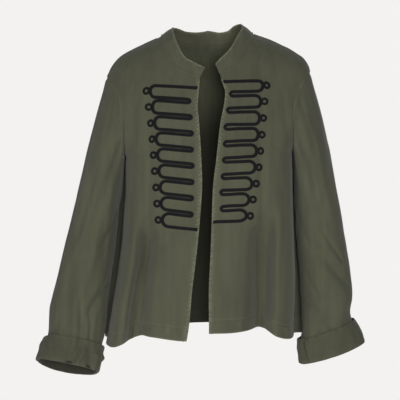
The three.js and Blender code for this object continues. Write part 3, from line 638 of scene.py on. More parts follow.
def torso(side: Side, face: Face, angle: Array, level: Array) -> Array:
    """Points of the torso at angles of the section and at levels.

    x is the section's width times the sine to the power 2 over its squareness, y its depth
    times the cosine to the same power, drawn in toward the shoulder line above the underarm.

    Args:
        side: The wearer's side.
        face: Front or back.
        angle: Angle of the section, 0 at the middle.
        level: 0 at the hem, 1 at the underarm, 2 at the shoulder line.

    Returns:
        Points in millimetres.
    """
    wide = SECTION.read("level", side.word, level)
    deep = SECTION.read("level", face.word, level)
    square = SECTION.read("level", "power", level)
    sine, cosine = np.sin(angle), np.maximum(np.cos(angle), 0)
    depth = deep * cosine ** (2 / square) * face.sign
    past = SECTION.read("level", "past_" + side.word, level) * sine**2
    past = past * PAST.at(depth) if face is Face.BACK else 0 * past
    x = side.sign * (wide * sine ** (2 / square) + past)
    low = underarm(x)
    hem = HEM.read("x", side.word if face is Face.FRONT else "back", np.abs(x))
    top = SHOULDER.read("x", side.word, np.abs(x))
    ridge = SHOULDER.read("x", "y", np.abs(x))
    power = FRONT_SHOULDER_POWER if face is Face.FRONT else BACK_SHOULDER_POWER
    rise = np.maximum(level - 1, 0)
    y = np.where(level <= 1, depth, ridge + (depth - ridge) * fullness(rise, power))
    z = np.where(level <= 1, mix(hem, low, level), low + rise * (top - low))
    return np.stack([x, y, z], -1)


def front_base(side: Side, share: Array, level: Array) -> Array:
    """Points of a front before its folds, share running from the front edge to the side."""
    wide = SECTION.read("level", side.word, level)
    square = SECTION.read("level", "power", level)
    inner = angle_of(inner_edge(side, level) / wide, square)
    outer = angle_of(armhole_edge(side, level) / wide, square)
    return torso(side, Face.FRONT, mix(inner, outer, share), level)


def back_base(side: Side, share: Array, level: Array) -> Array:
    """Points of half the back before its folds, share running from the middle to the side.

    Above level 2 the back goes on over the shoulder, onto the front's own surface.
    """
    edge = armhole_edge(side, level)
    wide = SECTION.read("level", side.word, level)
    square = SECTION.read("level", "power", level)
    neck_end = inner_edge(side, np.full_like(level, 2.0))
    neck = mix(NECK_SHARE * edge, neck_end, NECK_SPREAD.at(level))
    middle, outer = angle_of(np.abs(neck) / wide, square), angle_of(edge / wide, square)
    along = (share - NECK_SHARE) / (1 - NECK_SHARE)
    angle = np.where(share < NECK_SHARE, middle * share / NECK_SHARE, mix(middle, outer, along))
    behind = torso(side, Face.BACK, angle, np.minimum(level, 2))
    over = front_base(side, np.maximum(along, 0), 4 - np.maximum(level, 2))
    return np.where((level > 2)[..., None], over, behind)


def facing(surface: Callable[[Array, Array], Array], share: Array, level: Array) -> Array:
    """Normals of a laid out surface, from points a small step to either side.

    Args:
        surface: Gives points from shares and levels.
        share: Shares, 0 to 1.
        level: Levels.

    Returns:
        Unit normals, across share and then up.
    """
    right = surface(np.minimum(share + SLOPE_STEP, 1), level)
    left = surface(np.maximum(share - SLOPE_STEP, 0), level)
    up, down = surface(share, level + SLOPE_STEP), surface(share, level - SLOPE_STEP)
    return unit(np.cross(right - left, up - down))


def line_crease(u: Array, v: Array, run: tuple[float, float], widths: tuple[float, float],
                end: Ramp) -> Array:
    """A crease's share of its depth: a bell across a line that fades at its ends.

    Args:
        u: First distances from the line's start.
        v: Second distances from the line's start.
        run: How far the line goes along each.
        widths: The bell's widths toward falling and rising first distances.
        end: How the crease grows from either end of the line.

    Returns:
        Shares from 0 to 1.
    """
    length = math.hypot(*run)
    along = (u * run[0] + v * run[1]) / length
    across = (v * run[0] - u * run[1]) / length * (np.sign(-run[1]) or 1)
    return end.at(along) * end.at(length - along) * bell(across, *widths)


@dataclass(frozen=True)
class HemRelief:
    """The turned hem: a raised band with a stitched groove on top, puckered along it."""

    band: float = 0.7
    band_top: Ramp = Ramp(HEM_TURN + 1.5, -2.5)
    groove: Bell = Bell(HEM_TURN, -1.3, 1.5, 1.5)
    puckered: Bell = Bell(HEM_TURN * 0.8, 1.0, 14, 9)
    pucker: float = 1.1
    pitch: float = 7.5
    slant: float = 24.0
    reach: float = 30.0
    worn_puckers: float = 0.2
    worn_groove: Bell = Bell(HEM_TURN + 1.6, 0.12, 1.2, 1.2)
    worn_edge: Bell = Bell(0, 0.22, 1.8, 1.8)

    def at(self, height: Array, along: Array, seed: int) -> tuple[Array, Array]:
        """Displacement in millimetres, and how worn the cloth is.

        Args:
            height: Distance above the hem's edge.
            along: Distance along the hem.
            seed: Which noise the pucker follows.
        """
        near = self.puckered.at(height)
        pucker = rumple(seed, along / self.pitch + height / self.slant, height / self.reach)
        relief = (self.band * self.band_top.at(height) + self.groove.at(height)
                  + near * (self.pucker * pucker + HEM_RIPPLE.at(seed, along, height)))
        wear = (self.worn_puckers * near * np.maximum(pucker, 0)
                + self.worn_groove.at(height) + self.worn_edge.at(height))
        return relief, wear


@dataclass(frozen=True)
class EdgeRelief:
    """The stitched front edge: a thick narrow band that ropes and puckers."""

    band: float = 0.9
    band_side: Ramp = Ramp(EDGE_BAND + 1.8, -2.4)
    grooves: tuple[Bell, ...] = (Bell(EDGE_BAND, -0.9, 1.3, 1.3), Bell(2.2, -0.45, 0.9, 0.9))
    roped: Bell = Bell(EDGE_BAND * 0.55, 0.75, 3.6, 3.0)
    pitch: float = 7.4
    slant: float = 0.8
    drift: Ripple = Ripple(0, 3.0, 30, 1)
    puckered: Bell = Bell(EDGE_BAND, 0.5, 6, 13)
    pucker: Ripple = Ripple(1, 1.0, 9, 26)
    worn_fold: Bell = Bell(0.3, 0.7, 1.5, 1.2)
    worn_ropes: Bell = Bell(EDGE_BAND * 0.3, 0.85, 2.6, 2.6)
    worn_band: float = 0.05

    def at(self, distance: Array, along: Array, seed: int) -> tuple[Array, Array]:
        """Displacement in millimetres, and how worn the cloth is.

        Args:
            distance: Distance from the edge.
            along: Distance along the edge.
            seed: Which noise the pucker follows.
        """
        inside = self.band_side.at(distance)
        drift = self.drift.at(seed, along, 0)
        beat = np.sin(2 * np.pi * (along + self.slant * distance + drift) / self.pitch)
        relief = (self.band * inside + sum(groove.at(distance) for groove in self.grooves)
                  + beat * self.roped.at(distance)
                  + self.pucker.at(seed, along, distance) * self.puckered.at(distance))
        wear = (self.worn_fold.at(distance) * fray(seed + 2, along, 3.2, 0.5)
                + self.worn_ropes.at(distance) * np.maximum(beat, 0) * fray(seed + 3, along, 11, 0.4)
                + self.worn_band * inside)
        return relief, wear


@dataclass
class Panel:
    """A laid out panel: its surface, the sense of its normals, its small relief, its folds."""

    base: Callable[[Array, Array], Array]
    sense: float
    relief: Callable[[Array, Array, Array], tuple[Array, Array]]
    folds: Callable[[Array, Array], Array] | None = None

    def at(self, share: Array, level: Array) -> tuple[Array, Array]:
        """Points with their folds, and their wear."""
        points = self.base(share, level)
        normals = facing(self.base, share, level) * self.sense
        depth, wear = self.relief(share, level, points)
        points = points + normals * depth[..., None]
        if self.folds is not None:
            points[..., 1] -= self.folds(share, level)
        return points, wear

    def normals(self, share: Array, level: Array) -> Array:
        """Normals of the folded surface."""
        return facing(lambda s, l: self.at(s, l)[0], share, level) * self.sense


@dataclass
class Grid:
    """A grid of outer points with normals, wear and a flat map, from which cloth is made."""

    points: Array
    normals: Array
    wear: Array
    closed: bool = False

    def flat_map(self) -> Array:
        """Distances across and up in metres, by the grid's own mean steps."""
        wide = closed_up(self.points, self.closed, 1)
        across = np.linalg.norm(np.diff(wide, axis=1), axis=-1).mean(0)
        up = np.linalg.norm(np.diff(wide, axis=0), axis=-1).mean(1)
        u = np.concatenate([[0], np.cumsum(across)])
        v = np.concatenate([[0], np.cumsum(up)])
        return np.stack(np.meshgrid(u, v), -1) * MM

    def area(self) -> float:
        """Area of the outer surface in square metres, as the sum of its quads' diagonals."""
        p = closed_up(self.points, self.closed, 1)
        cross = np.cross(p[1:, 1:] - p[:-1, :-1], p[1:, :-1] - p[:-1, 1:])
        return float(np.linalg.norm(cross, axis=-1).sum()) / 2 * MM * MM

    def line(self, row: float) -> tuple[Array, Array]:
        """Points and normals along a row at a share of the rows."""
        at = row * (len(self.points) - 1)
        low = int(at)
        high = min(low + 1, len(self.points) - 1)
        return (mix(self.points[low], self.points[high], at - low),
                unit(mix(self.normals[low], self.normals[high], at - low)))


def quads(index: Array) -> Array:
    """Quads of a grid of vertex numbers, four numbers each."""
    corners = [index[:-1, :-1], index[:-1, 1:], index[1:, 1:], index[1:, :-1]]
    return np.stack(corners, -1).reshape(-1, 4)


def put_mesh(name: str, vertices: Array, faces: Array, uvs: Array | None = None,
             fields: dict[str, Array] | None = None) -> bpy.types.Object:
    """Makes one object from whole arrays, its faces turned outward.

    The signed volume is the sum over quads of corner dotted with the cross product of its
    next two; below zero, every face is turned round.

    Args:
        name: The object's name.
        vertices: Points in millimetres, n by 3.
        faces: Quads, m by 4.
        uvs: One place on the flat map for each face's corner, m by 4 by 2.
        fields: Named numbers, one for each vertex.

    Returns:
        The object, at the origin.
    """
    a, b, c, d = (vertices[faces[:, k]] for k in range(4))
    volume = np.einsum("ij,ij->", a, np.cross(b, c)) + np.einsum("ij,ij->", a, np.cross(c, d))
    if volume < 0:
        faces = faces[:, ::-1]
        uvs = None if uvs is None else uvs[:, ::-1]
    mesh = bpy.data.meshes.new(name)
    mesh.from_pydata((vertices * MM).tolist(), [], faces.tolist())
    if uvs is not None:
        layer = mesh.uv_layers.new(name="weave")
        layer.data.foreach_set("uv", np.ascontiguousarray(uvs, np.float32).ravel())
    for key, values in (fields or {}).items():
        attribute = mesh.attributes.new(key, "FLOAT", "POINT")
        attribute.data.foreach_set("value", np.ascontiguousarray(values, np.float32).ravel())
    mesh.polygons.foreach_set("use_smooth", np.ones(len(faces), bool))
    mesh.update()
    piece = bpy.data.objects.new(name, mesh)
    bpy.context.scene.collection.objects.link(piece)
    return piece


def rolled(points: Array, normals: Array, radius: float, axis: int) -> tuple[Array, Array]:
    """Adds two rows past each end of a grid that roll a quarter turn against the normals.

    Args:
        points: Rows by columns by 3.
        normals: Unit normals of the same shape.
        radius: Radius of the roll, half the cloth.
        axis: 0 to roll the first and last rows, 1 the columns.

    Returns:
        The longer points and normals.
    """
    p, n = np.moveaxis(points, axis, 0), np.moveaxis(normals, axis, 0)

    def end(edge: Array, inside: Array, normal: Array) -> Array:
        """The rows past one end, from the edge out."""
        out = unit(edge - inside)
        out = unit(out - normal * (out * normal).sum(-1, keepdims=True))
        return np.stack([edge + radius * (out * math.sin(turn) - normal * (1 - math.cos(turn)))
                         for turn in ROLL_TURNS])

    p = np.concatenate([end(p[0], p[1], n[0])[::-1], p, end(p[-1], p[-2], n[-1])])
    n = padded_edges(n, True)
    return np.moveaxis(p, 0, axis), np.moveaxis(n, 0, axis)


def padded_edges(values: Array, closed: bool) -> Array:
    """The grid's values with rows and, where open, columns for the rolled edges at each end."""
    more, none = (len(ROLL_TURNS),) * 2, (0, 0)
    return np.pad(values, [more, none if closed else more] + [none] * (values.ndim - 2), mode="edge")


def make_cloth(name: str, grid: Grid, thickness: float, shade: float = 0.0) -> bpy.types.Object:
    """A closed wall of cloth under a grid of outer points, its open edges rolled round.

    The inner layer is the outer one moved back along the normals; both layers' edges roll a
    quarter turn and share their last vertices.

    Args:
        name: The piece's name.
        grid: The outer points.
        thickness: The cloth's thickness in millimetres.
        shade: How much the outer face is darkened toward the painted inside shade colour, for the cloth's
            darker wrong side.

    Returns:
        The object, with a flat map and the fields wear and inner; inner carries painted shade.
    """
    closed, radius = grid.closed, thickness / 2
    layers = []
    for depth, sense in ((0.0, 1.0), (thickness, -1.0)):
        p, n = rolled(grid.points - grid.normals * depth, grid.normals * sense, radius, 0)
        if not closed:
            p, n = rolled(p, n, radius, 1)
        layers.append(p)
    rows, columns = layers[0].shape[:2]
    count = rows * columns
    outer = np.arange(count).reshape(rows, columns)
    inner = outer + count
    rim = np.zeros((rows, columns), bool)
    rim[[0, -1]] = True
    if not closed:
        rim[:, [0, -1]] = True
    inner = np.where(rim, outer, inner)
    flat = padded_edges(grid.flat_map(), closed)
    outer, inner = (closed_up(index, closed, 1) for index in (outer, inner))
    flat_index = np.arange(flat.shape[0] * flat.shape[1]).reshape(flat.shape[:2])
    corners = flat.reshape(-1, 2)[quads(flat_index)]
    faces = np.concatenate([quads(outer), quads(inner)[:, ::-1]])
    uvs = np.concatenate([corners, corners[:, ::-1]])
    used, numbers = np.unique(faces, return_inverse=True)
    wear = np.tile(padded_edges(grid.wear, closed).ravel(), 2)
    vertices = np.concatenate([layer.reshape(-1, 3) for layer in layers])[used]
    # Painted shade: the inner layer is darkened below the neck by height, and a piece's shade sets a least
    # darkening everywhere.
    dark = (used >= count) * INSIDE_PAINTED_SHADE.at(vertices[:, 2])
    fields = {"wear": wear[used], "inner": np.maximum(dark, shade)}
    return put_mesh(name, vertices, numbers.reshape(-1, 4), uvs, fields)


def seam_start(edge: Array, normal: Array, inside: Array, along: Array,
               towards: Array) -> tuple[Array, Array]:
    """Where a piece sewn to a panel's edge starts, and which way its wall faces there.

    It starts a seam's gap off the edge, and its wall turns with the way the piece runs.

    Args:
        edge: Points of the panel's edge.
        normal: The panel's normals there.
        inside: The panel's points next to the edge.
        along: Directions along the edge.
        towards: The unit directions in which the piece leaves.

    Returns:
        First points and first normals of the piece.
    """
    off = unit(np.cross(along, normal))
    off = off * np.where(((edge - inside) * off).sum(-1, keepdims=True) < 0, -1, 1)
    turn = np.arctan2((towards * normal).sum(-1), (towards * off).sum(-1))
    turn = np.maximum(turn, 0)[..., None]
    gap = SEAM_GAP * SEAM_OFFSET
    point = edge + gap * (off * np.cos(turn / 2) + normal * np.sin(turn / 2))
    return point, unit(normal * np.cos(turn) - off * np.sin(turn))


def read_line(values: Array, lengths: Array, at: Array) -> Array:
    """Values at given lengths along a line."""
    return np.stack([np.interp(at, lengths, column) for column in values.T], -1)


def resample(values: Array, lengths: Array, count: int, closed: bool = False) -> Array:
    """Evenly spaced values along a line, by its lengths."""
    at = np.linspace(0, lengths[-1], count, endpoint=not closed)
    return read_line(closed_up(values, closed), lengths, at)


def line_lengths(points: Array, closed: bool = False) -> Array:
    """Length along a line up to each of its points."""
    steps = np.diff(closed_up(points, closed), axis=0)
    return np.concatenate([[0], np.cumsum(np.linalg.norm(steps, axis=-1))])


@dataclass
class Body:
    """The two fronts and the back, each one panel of cloth."""

    edge_columns: int = 15
    front_columns: int = 44
    front_rows: int = 400
    back_rows: int = 210
    back_columns: int = 171
    front_cut: tuple[float, float] = (0.24, 0.66)
    back_cut: tuple[float, float] = (0.52, 0.66)
    calm_edge: Ramp = Ramp(0, 40)
    crease_end: Ramp = Ramp(-12.5, 25)
    panels: dict[str, Panel] = field(default_factory=dict)
    grids: dict[str, Grid] = field(default_factory=dict)

    def front_folds(self, side: Side, share: Array, level: Array) -> Array:
        """How far a front's folds push it forward. They soften toward their heads."""
        depth = np.zeros_like(level)
        for fold in FRONT_FOLDS.on(side):
            centre = mix(fold["hem"], fold["head"], level / fold["start"])
            fade = smooth(FOLD_ONSET * (fold["start"] - level) / fold["start"])
            far = mix(max(fold["near"], fold["far"]), fold["far"], fade)
            depth = depth + fold["depth"] * fade * bell(share - centre, fold["near"], far)
        return depth * FRONT_SEAM.at(share)

    def front_relief(self, side: Side) -> Callable[[Array, Array, Array], tuple[Array, Array]]:
        """The creases, stitched edge and hem of one front, as one function."""

        def relief_at(share: Array, level: Array, points: Array) -> tuple[Array, Array]:
            """Displacement along the normals, and wear, at shares and levels."""
            x, z = np.abs(points[..., 0]), points[..., 2]
            seed = Seed.FRONT + side.sign
            depth = uneven(FRONT_RIPPLES, seed, x, z) * self.calm_edge.at(x)
            for crease in FRONT_CREASES.on(side):
                run = (crease["x1"] - crease["x0"], crease["z1"] - crease["z0"])
                widths = (crease["near"], crease["far"])
                on_line = line_crease(x - crease["x0"], z - crease["z0"], run, widths, self.crease_end)
                depth = depth + crease["depth"] * on_line
            hem, hem_wear = HemRelief().at(z - HEM.read("x", side.word, x), x, Seed.HEM + side.sign)
            edge, edge_wear = EdgeRelief().at(x - inner_edge(side, level), z, Seed.EDGE + side.sign)
            open_edge = EDGE_END.at(z)
            relief = depth * FRONT_SEAM.at(share) + hem + edge * open_edge
            return relief, hem_wear + edge_wear * open_edge

        return relief_at

    def back_place(self, across: Array, level: Array) -> Array:
        """Points of the whole back: across runs from the right side seam to the left one."""
        share = np.abs(across * 2 - 1)
        neck = BACK_NECK.read("share", "rise", 1 - share / NECK_SHARE)
        rise = (level - 1) / (BACK_TOP - 1)
        at = np.where((share < NECK_SHARE) & (level > 1), 1 + rise * neck, level)
        right, left = back_base(Side.RIGHT, share, at), back_base(Side.LEFT, share, at)
        return np.where((across < 0.5)[..., None], right, left)

    def back_relief(self, across: Array, level: Array, points: Array) -> tuple[Array, Array]:
        """The back's folds and hem: displacement along the normals, and wear."""
        x, z = points[..., 0], points[..., 2]
        depth = uneven(BACK_RIPPLES, Seed.BACK, x, z)
        for fold in BACK_FOLDS.records():
            centre = mix(fold["hem"], fold["head"], level / fold["start"])
            fade = smooth((fold["start"] - level) / fold["start"])
            bells = bell(across - centre, fold["width"], fold["width"])
            depth = depth + fold["depth"] * fade * bells
        hem, wear = HemRelief().at(z - HEM.read("x", "back", np.abs(x)), x, Seed.BACK_HEM)
        return depth * BACK_SEAM.at(np.minimum(across, 1 - across)) + hem, wear

    def spread(self, name: str, panel: Panel, share: Array, top: float, rows: int,
               edges: tuple[tuple[int, int], ...]) -> None:
        """Lays a panel out, drawn in by half its wall where its edges roll round.

        Args:
            name: The panel's name.
            panel: The panel.
            share: Shares of the columns.
            top: The top row's level.
            rows: How many rows.
            edges: Each rolled edge column, with the one next to it.
        """
        level = top * (1 - (1 - np.linspace(0, 1, rows)) ** ROW_EASE)
        points, wear = panel.at(*np.meshgrid(share, level))
        for edge, inside in edges:
            points[:, edge] += unit(points[:, inside] - points[:, edge]) * (CLOTH / 2)
        points[-1] += unit(points[-2] - points[-1]) * (CLOTH / 2)
        self.panels[name] = panel
        self.grids[name] = Grid(points, grid_normals(points, sense=panel.sense), wear)

    def lay_out(self) -> None:
        """Works out the three grids."""
        close = np.linspace(0, CLOSE_SHARE, self.edge_columns, endpoint=False)
        share = np.concatenate([close, np.linspace(CLOSE_SHARE, 1, self.front_columns)])
        for side in Side:
            panel = Panel(lambda s, l, side=side: front_base(side, s, l), side.sign,
                          self.front_relief(side),
                          lambda s, l, side=side: self.front_folds(side, s, l))
            self.spread("front_" + side.word, panel, share, FRONT_TOP, self.front_rows, ((-1, -2),))
        self.spread("back", Panel(self.back_place, -1.0, self.back_relief),
                    np.linspace(0, 1, self.back_columns), BACK_TOP, self.back_rows, ((0, 1), (-1, -2)))

    def build(self) -> dict[str, bpy.types.Object]:
        """Makes the three pieces of cloth."""
        self.lay_out()
        return {name: make_cloth("cloth_" + name, grid, CLOTH) for name, grid in self.grids.items()}

    def armhole(self, side: Side) -> tuple[Array, Array, Array]:
        """The armhole's edge from the underarm up the front and down the back.

        Returns:
            Its points, its panels' normals and the points next to it, in one closed loop.
        """
        front, back = self.grids["front_" + side.word], self.grids["back"]
        last, near = (0, SEAM_INSIDE) if side is Side.RIGHT else (-1, -1 - SEAM_INSIDE)
        columns = (("points", -1, last), ("normals", -1, last), ("points", -1 - SEAM_INSIDE, near))
        up, down = (part.points[:, place, 2] >= underarm(part.points[:, place, 0])
                    for part, place in ((front, -1), (back, last)))
        edge, normal, inside = (np.concatenate([getattr(front, kind)[up, on_front],
                                                getattr(back, kind)[down, on_back][::-1]])
                                for kind, on_front, on_back in columns)
        return edge, normal, inside


@dataclass
class Sleeve:
    """One sleeve with its turned-up cuff.

    turns are the angles of the ring's columns, shifts carry the first ring onto the armhole,
    and start is that ring's points and normals. They are known once the sleeve is settled on.
    """

    side: Side
    body: Body
    columns: int = 176
    rows: int = 170
    cuff_rows: int = 50
    row_ease: float = 1.12
    length: float = 560.0
    radius: float = 75.0
    crease_radius: float = 62.0
    crease_end: Ramp = Ramp(-0.25, 0.35)
    lead: float = 0.1
    ridge_lean: float = 0.02
    settled: Ramp = Ramp(0.3, -0.3)
    crumpled: Ramp = Ramp(0.8, 0.16)
    gathered: Bell = Bell(0.02, 1.0, 0.02, 0.035)
    upper_half: Ramp = Ramp(-0.25, 0.5)
    soft_from: Ramp = Ramp(0, 0.03)
    seam_from: Ramp = Ramp(0, 0.006)
    seam: tuple[Bell, ...] = (Bell(0.005, -1.2, 0.01, 0.006), Bell(0.022, 1.7, 0.011, 0.022))
    seam_wear: Bell = Bell(0.012, 0.12, 0.005, 0.006)
    cuff_radius: float = 55.0
    cuff_crease_radius: float = 50.0
    cuff_height: float = 42.0
    cuff_crease_end: Ramp = Ramp(-4.8, 8)
    cuff_creased: Ramp = Ramp(0.06, 0.1)
    cuff_uneven: Ramp = Ramp(0.15, 0.5)
    cuff_sagging: Ramp = Ramp(0, 0.1)
    cuff_wear: tuple[Bell, ...] = (Bell(1.0, 0.18, 0.03, 0.03), Bell(0.14, 0.15, 0.06, 0.08))
    cut: tuple[float, float] = (0.46, 0.52)
    cuff_cut: tuple[float, float] = (0.36, 0.08)
    turns: Array = field(default_factory=lambda: np.zeros(0))
    shifts: Array = field(default_factory=lambda: np.zeros(0))
    start: tuple[Array, Array] = (np.zeros(0), np.zeros(0))

    def ring(self, run: Array, turn: Array) -> Array:
        """Points of the sleeve's rings: an ellipse between the outer and inner ends."""
        rings, sign = SLEEVE_RINGS[self.side], self.side.sign
        get = {name: rings.read("run", name, run) for name in rings.names.split()[1:]}
        outer = np.stack([sign * get["out_x"], get["y"], get["out_z"]], -1)
        inner = np.stack([sign * get["in_x"], get["y"], get["in_z"]], -1)
        deep = np.stack([0 * get["y"], get["half"], -get["drop"]], -1)
        angle = np.radians(turn)[..., None]
        return (outer + inner) / 2 + (outer - inner) * np.cos(angle) / 2 + deep * np.sin(angle)

    def crease_depth(self, run: Array, turn: Array) -> Array:
        """Depth of the creases: bells across slanting lines, in run and turn."""
        depth = 0 * run * turn
        for crease in SLEEVE_CREASES.on(self.side):
            along = (run - crease["run0"]) / (crease["run1"] - crease["run0"])
            ends = self.crease_end.at(np.minimum(along, 1 - along))
            gap = turn_gap(turn, mix(crease["turn0"], crease["turn1"], along))
            across = np.radians(gap) * self.crease_radius
            depth = depth + crease["depth"] * ends * bell(across, crease["wide"], crease["wide"])
        return depth

    def settle_on(self) -> None:
        """Takes the armhole's edge as the sleeve's first ring, evenly spaced."""
        edge, normal, inside = self.body.armhole(self.side)
        lengths = line_lengths(edge, True)
        edge, normal, inside = (resample(a, lengths, self.columns, True) for a in (edge, normal, inside))
        normal = unit(normal)
        ridge = int(np.argmax(edge[:, 2] - self.ridge_lean * np.abs(edge[:, 1])))
        lengths = line_lengths(edge, True)
        rising = 180 + 180 * lengths[:-1] / lengths[ridge]
        falling = 360 + 180 * (lengths[:-1] - lengths[ridge]) / (lengths[-1] - lengths[ridge])
        self.turns = np.where(np.arange(self.columns) <= ridge, rising, falling)
        along = np.roll(edge, -1, 0) - np.roll(edge, 1, 0)
        zero, lead = np.zeros(self.columns), np.full(self.columns, self.lead)
        towards = unit(self.ring(lead, self.turns) - self.ring(zero, self.turns))
        self.start = seam_start(edge, normal, inside, along, towards)
        self.shifts = self.start[0] - self.ring(zero, self.turns)

    def place(self, run: Array) -> tuple[Array, Array]:
        """Points and wear of whole rings at runs from the armhole, 0, to the hand, 1."""
        run = np.atleast_1d(run)[:, None] + 0 * self.turns
        turn = np.broadcast_to(self.turns, run.shape)
        points = self.ring(run, turn) + self.shifts * self.settled.at(run)[..., None]
        centre = (self.ring(run, 0 * turn) + self.ring(run, 0 * turn + 180)) / 2
        out = unit(points - centre)
        arc, down = np.radians(turn) * self.radius, run * self.length
        seed = Seed.SLEEVE + self.side.sign
        gathered = self.upper_half.at(np.cos(np.radians(turn))) * self.gathered.at(run)
        soft = uneven(SLEEVE_RIPPLES, seed, arc, down) + SLEEVE_CAP_RIPPLE.at(seed, arc, down) * gathered
        depth = (self.crease_depth(run, turn) + soft * self.soft_from.at(run)
                 + sum(part.at(run) for part in self.seam) * self.seam_from.at(run)
                 + SLEEVE_END_RIPPLE.at(seed, arc, down) * self.crumpled.at(run))
        wear = self.seam_wear.at(run) * fray(seed + 2, arc, 6, 0.4)
        return points + out * depth[..., None], wear

    def build(self) -> tuple[bpy.types.Object, bpy.types.Object, Grid, Grid]:
        """Makes the sleeve and the cuff."""
        self.settle_on()
        points, wear = self.place(1 - (1 - np.linspace(0, 1, self.rows)) ** self.row_ease)
        points[0] = self.start[0]
        normals = grid_normals(points, True, -self.side.sign)
        normals[0] = self.start[1]
        grid = Grid(points, normals, wear, True)
        sleeve = make_cloth("cloth_sleeve_" + self.side.word, grid, CLOTH)
        cuff_grid = self.cuff()
        cuff = make_cloth("cloth_cuff_" + self.side.word, cuff_grid, TURNED_CLOTH, CUFF_SHADE)
        return sleeve, cuff, grid, cuff_grid

    def cuff_folds(self, along: Array, turn: Array) -> Array:
        """Depth of the cuff's creases: bells across lines in turn and height up the cuff."""
        depth = 0 * turn
        for crease in CUFF_CREASES.on(self.side):
            across = np.radians(turn_gap(turn, crease["turn0"])) * self.cuff_crease_radius
            up = (along - crease["up0"]) * self.cuff_height
            run = (math.radians(crease["turn1"] - crease["turn0"]) * self.cuff_crease_radius,
                   (crease["up1"] - crease["up0"]) * self.cuff_height)
            widths = (crease["wide"], crease["wide"])
            depth = depth + crease["depth"] * line_crease(across, up, run, widths, self.cuff_crease_end)
        return depth * self.cuff_creased.at(along)

    def cuff(self) -> Grid:
        """The turned-up cuff: the section table carried round the sleeve's end and crumpled."""
        end, above = self.place(1.0)[0][0], self.place(CUFF_FROM)[0][0]
        centre = end.mean(0)
        axis = unit(centre - above.mean(0))
        out = end - centre
        out = unit(out - axis * (out @ axis)[:, None])
        along = np.linspace(0, 1, self.cuff_rows)[:, None]
        get = {name: CUFF_PROFILE.read("along", name, along) for name in ("up", "out", "down")}
        arc, seed = np.radians(self.turns) * self.cuff_radius, Seed.CUFF + self.side.sign
        folds = uneven(CUFF_RIPPLES, seed, arc, along) * self.cuff_uneven.at(along)
        folds = folds + self.cuff_folds(along, self.turns + 0 * along)
        reach = np.maximum(get["out"] + folds, np.minimum(get["out"], CUFF_LEAST))
        front = np.maximum(-np.sin(np.radians(self.turns + CUFF_SAG_TURN)), 0)
        sag = CUFF_SAG[self.side] * front * self.cuff_sagging.at(along) * (1 - get["up"])
        points = end + (above - end) * get["up"][..., None]
        points = points + out * reach[..., None] + axis * (get["down"] + sag)[..., None]
        normals = grid_normals(points, True, self.side.sign)
        flip = np.sign((normals[-1] * out).sum(-1).mean())
        wear = fray(seed + 7, arc, 4, 0.45) * sum(worn.at(along) for worn in self.cuff_wear)
        return Grid(points, normals * flip, wear, True)


@dataclass
class Collar:
    """The stand collar, sewn to both necklines and the back's."""

    body: Body
    columns: int = 230
    rows: int = 26
    bow: float = 1.4
    seams: tuple[Bell, ...] = (Bell(0.11, 1.6, 0.05, 0.06), Bell(0.84, -0.8, 0.04, 0.04))
    puckered: Bell = Bell(0.86, 1.0, 0.16, 0.2)
    pucker: float = 0.7
    pitch: float = 4.2
    free_from: Ramp = Ramp(0, 0.08)
    edge_wear: Bell = Bell(0, 0.85, 2.4, 2.4)
    pucker_wear: float = 0.25
    cut: tuple[float, float] = (0.46, 0.045)

    def seam(self) -> tuple[Array, Array, Array]:
        """The neck seam from the right front end round the back to the left front end.

        Returns:
            Its points, its panels' normals and the points next to it.
        """
        back = self.body.grids["back"]
        behind = np.abs(np.linspace(-1, 1, back.points.shape[1])) <= NECK_SHARE
        necks = []
        for side in Side:
            front = self.body.grids["front_" + side.word]
            necks.append((front, front.points[:, 0, 2] >= NECKLINE.column(side.word + "_z")[0] - 1))
        (right, up_right), (left, up_left) = necks
        edge, normal, inside = (np.concatenate([getattr(right, kind)[up_right, step][:-2],
                                                getattr(back, kind)[-1 - step][behind],
                                                getattr(left, kind)[up_left, step][:-2][::-1]])
                                for kind, step in (("points", 0), ("normals", 0), ("points", NECK_INSIDE)))
        return edge, normal, inside

    def build(self) -> tuple[bpy.types.Object, Grid]:
        """Makes the collar: from its seam, each column rises inward and back by its share."""
        edge, normal, inside = self.seam()
        lengths = line_lengths(edge)
        edge, normal, inside = (resample(a, lengths, self.columns) for a in (edge, normal, inside))
        lengths = line_lengths(edge)
        middle = float(np.interp(0, edge[:, 0], lengths))
        on_right = lengths <= middle
        share = np.where(on_right, lengths / middle, (lengths[-1] - lengths) / (lengths[-1] - middle))
        pick = {name: np.where(on_right, COLLAR.read("share", name + "_right", share),
                               COLLAR.read("share", name + "_left", share)) for name in ("in", "up")}
        inward = np.where(on_right, pick["in"], -pick["in"])
        rise = np.stack([inward, COLLAR.read("share", "back", share), pick["up"]], -1)
        along = np.gradient(edge, axis=0)
        start, first = seam_start(edge, unit(normal), inside, along, unit(rise))
        up = np.linspace(0, 1, self.rows)
        points = start + rise * up[:, None, None]
        normals = grid_normals(points, sense=-1.0)
        normals[0] = first
        up = up[:, None]
        tall = np.linalg.norm(rise, axis=-1)
        bow = self.bow * np.sin(np.pi * up) + COLLAR_RIPPLE.at(Seed.COLLAR, lengths, up)
        beat = rumple(Seed.COLLAR + 1, lengths / self.pitch + up * 2, up * 1.5)
        near = self.puckered.at(up)
        depth = bow + sum(seam.at(up) for seam in self.seams) + self.pucker * beat * near
        points = points + normals * (depth * self.free_from.at(up))[..., None]
        wear = (self.edge_wear.at((1 - up) * tall) * fray(Seed.COLLAR + 2, lengths, 3.4, 0.4)
                + self.pucker_wear * np.maximum(beat, 0) * near)
        grid = Grid(points, grid_normals(points, sense=-1.0), wear)
        grid.normals[0] = first
        return make_cloth("cloth_collar", grid, TURNED_CLOTH), grid


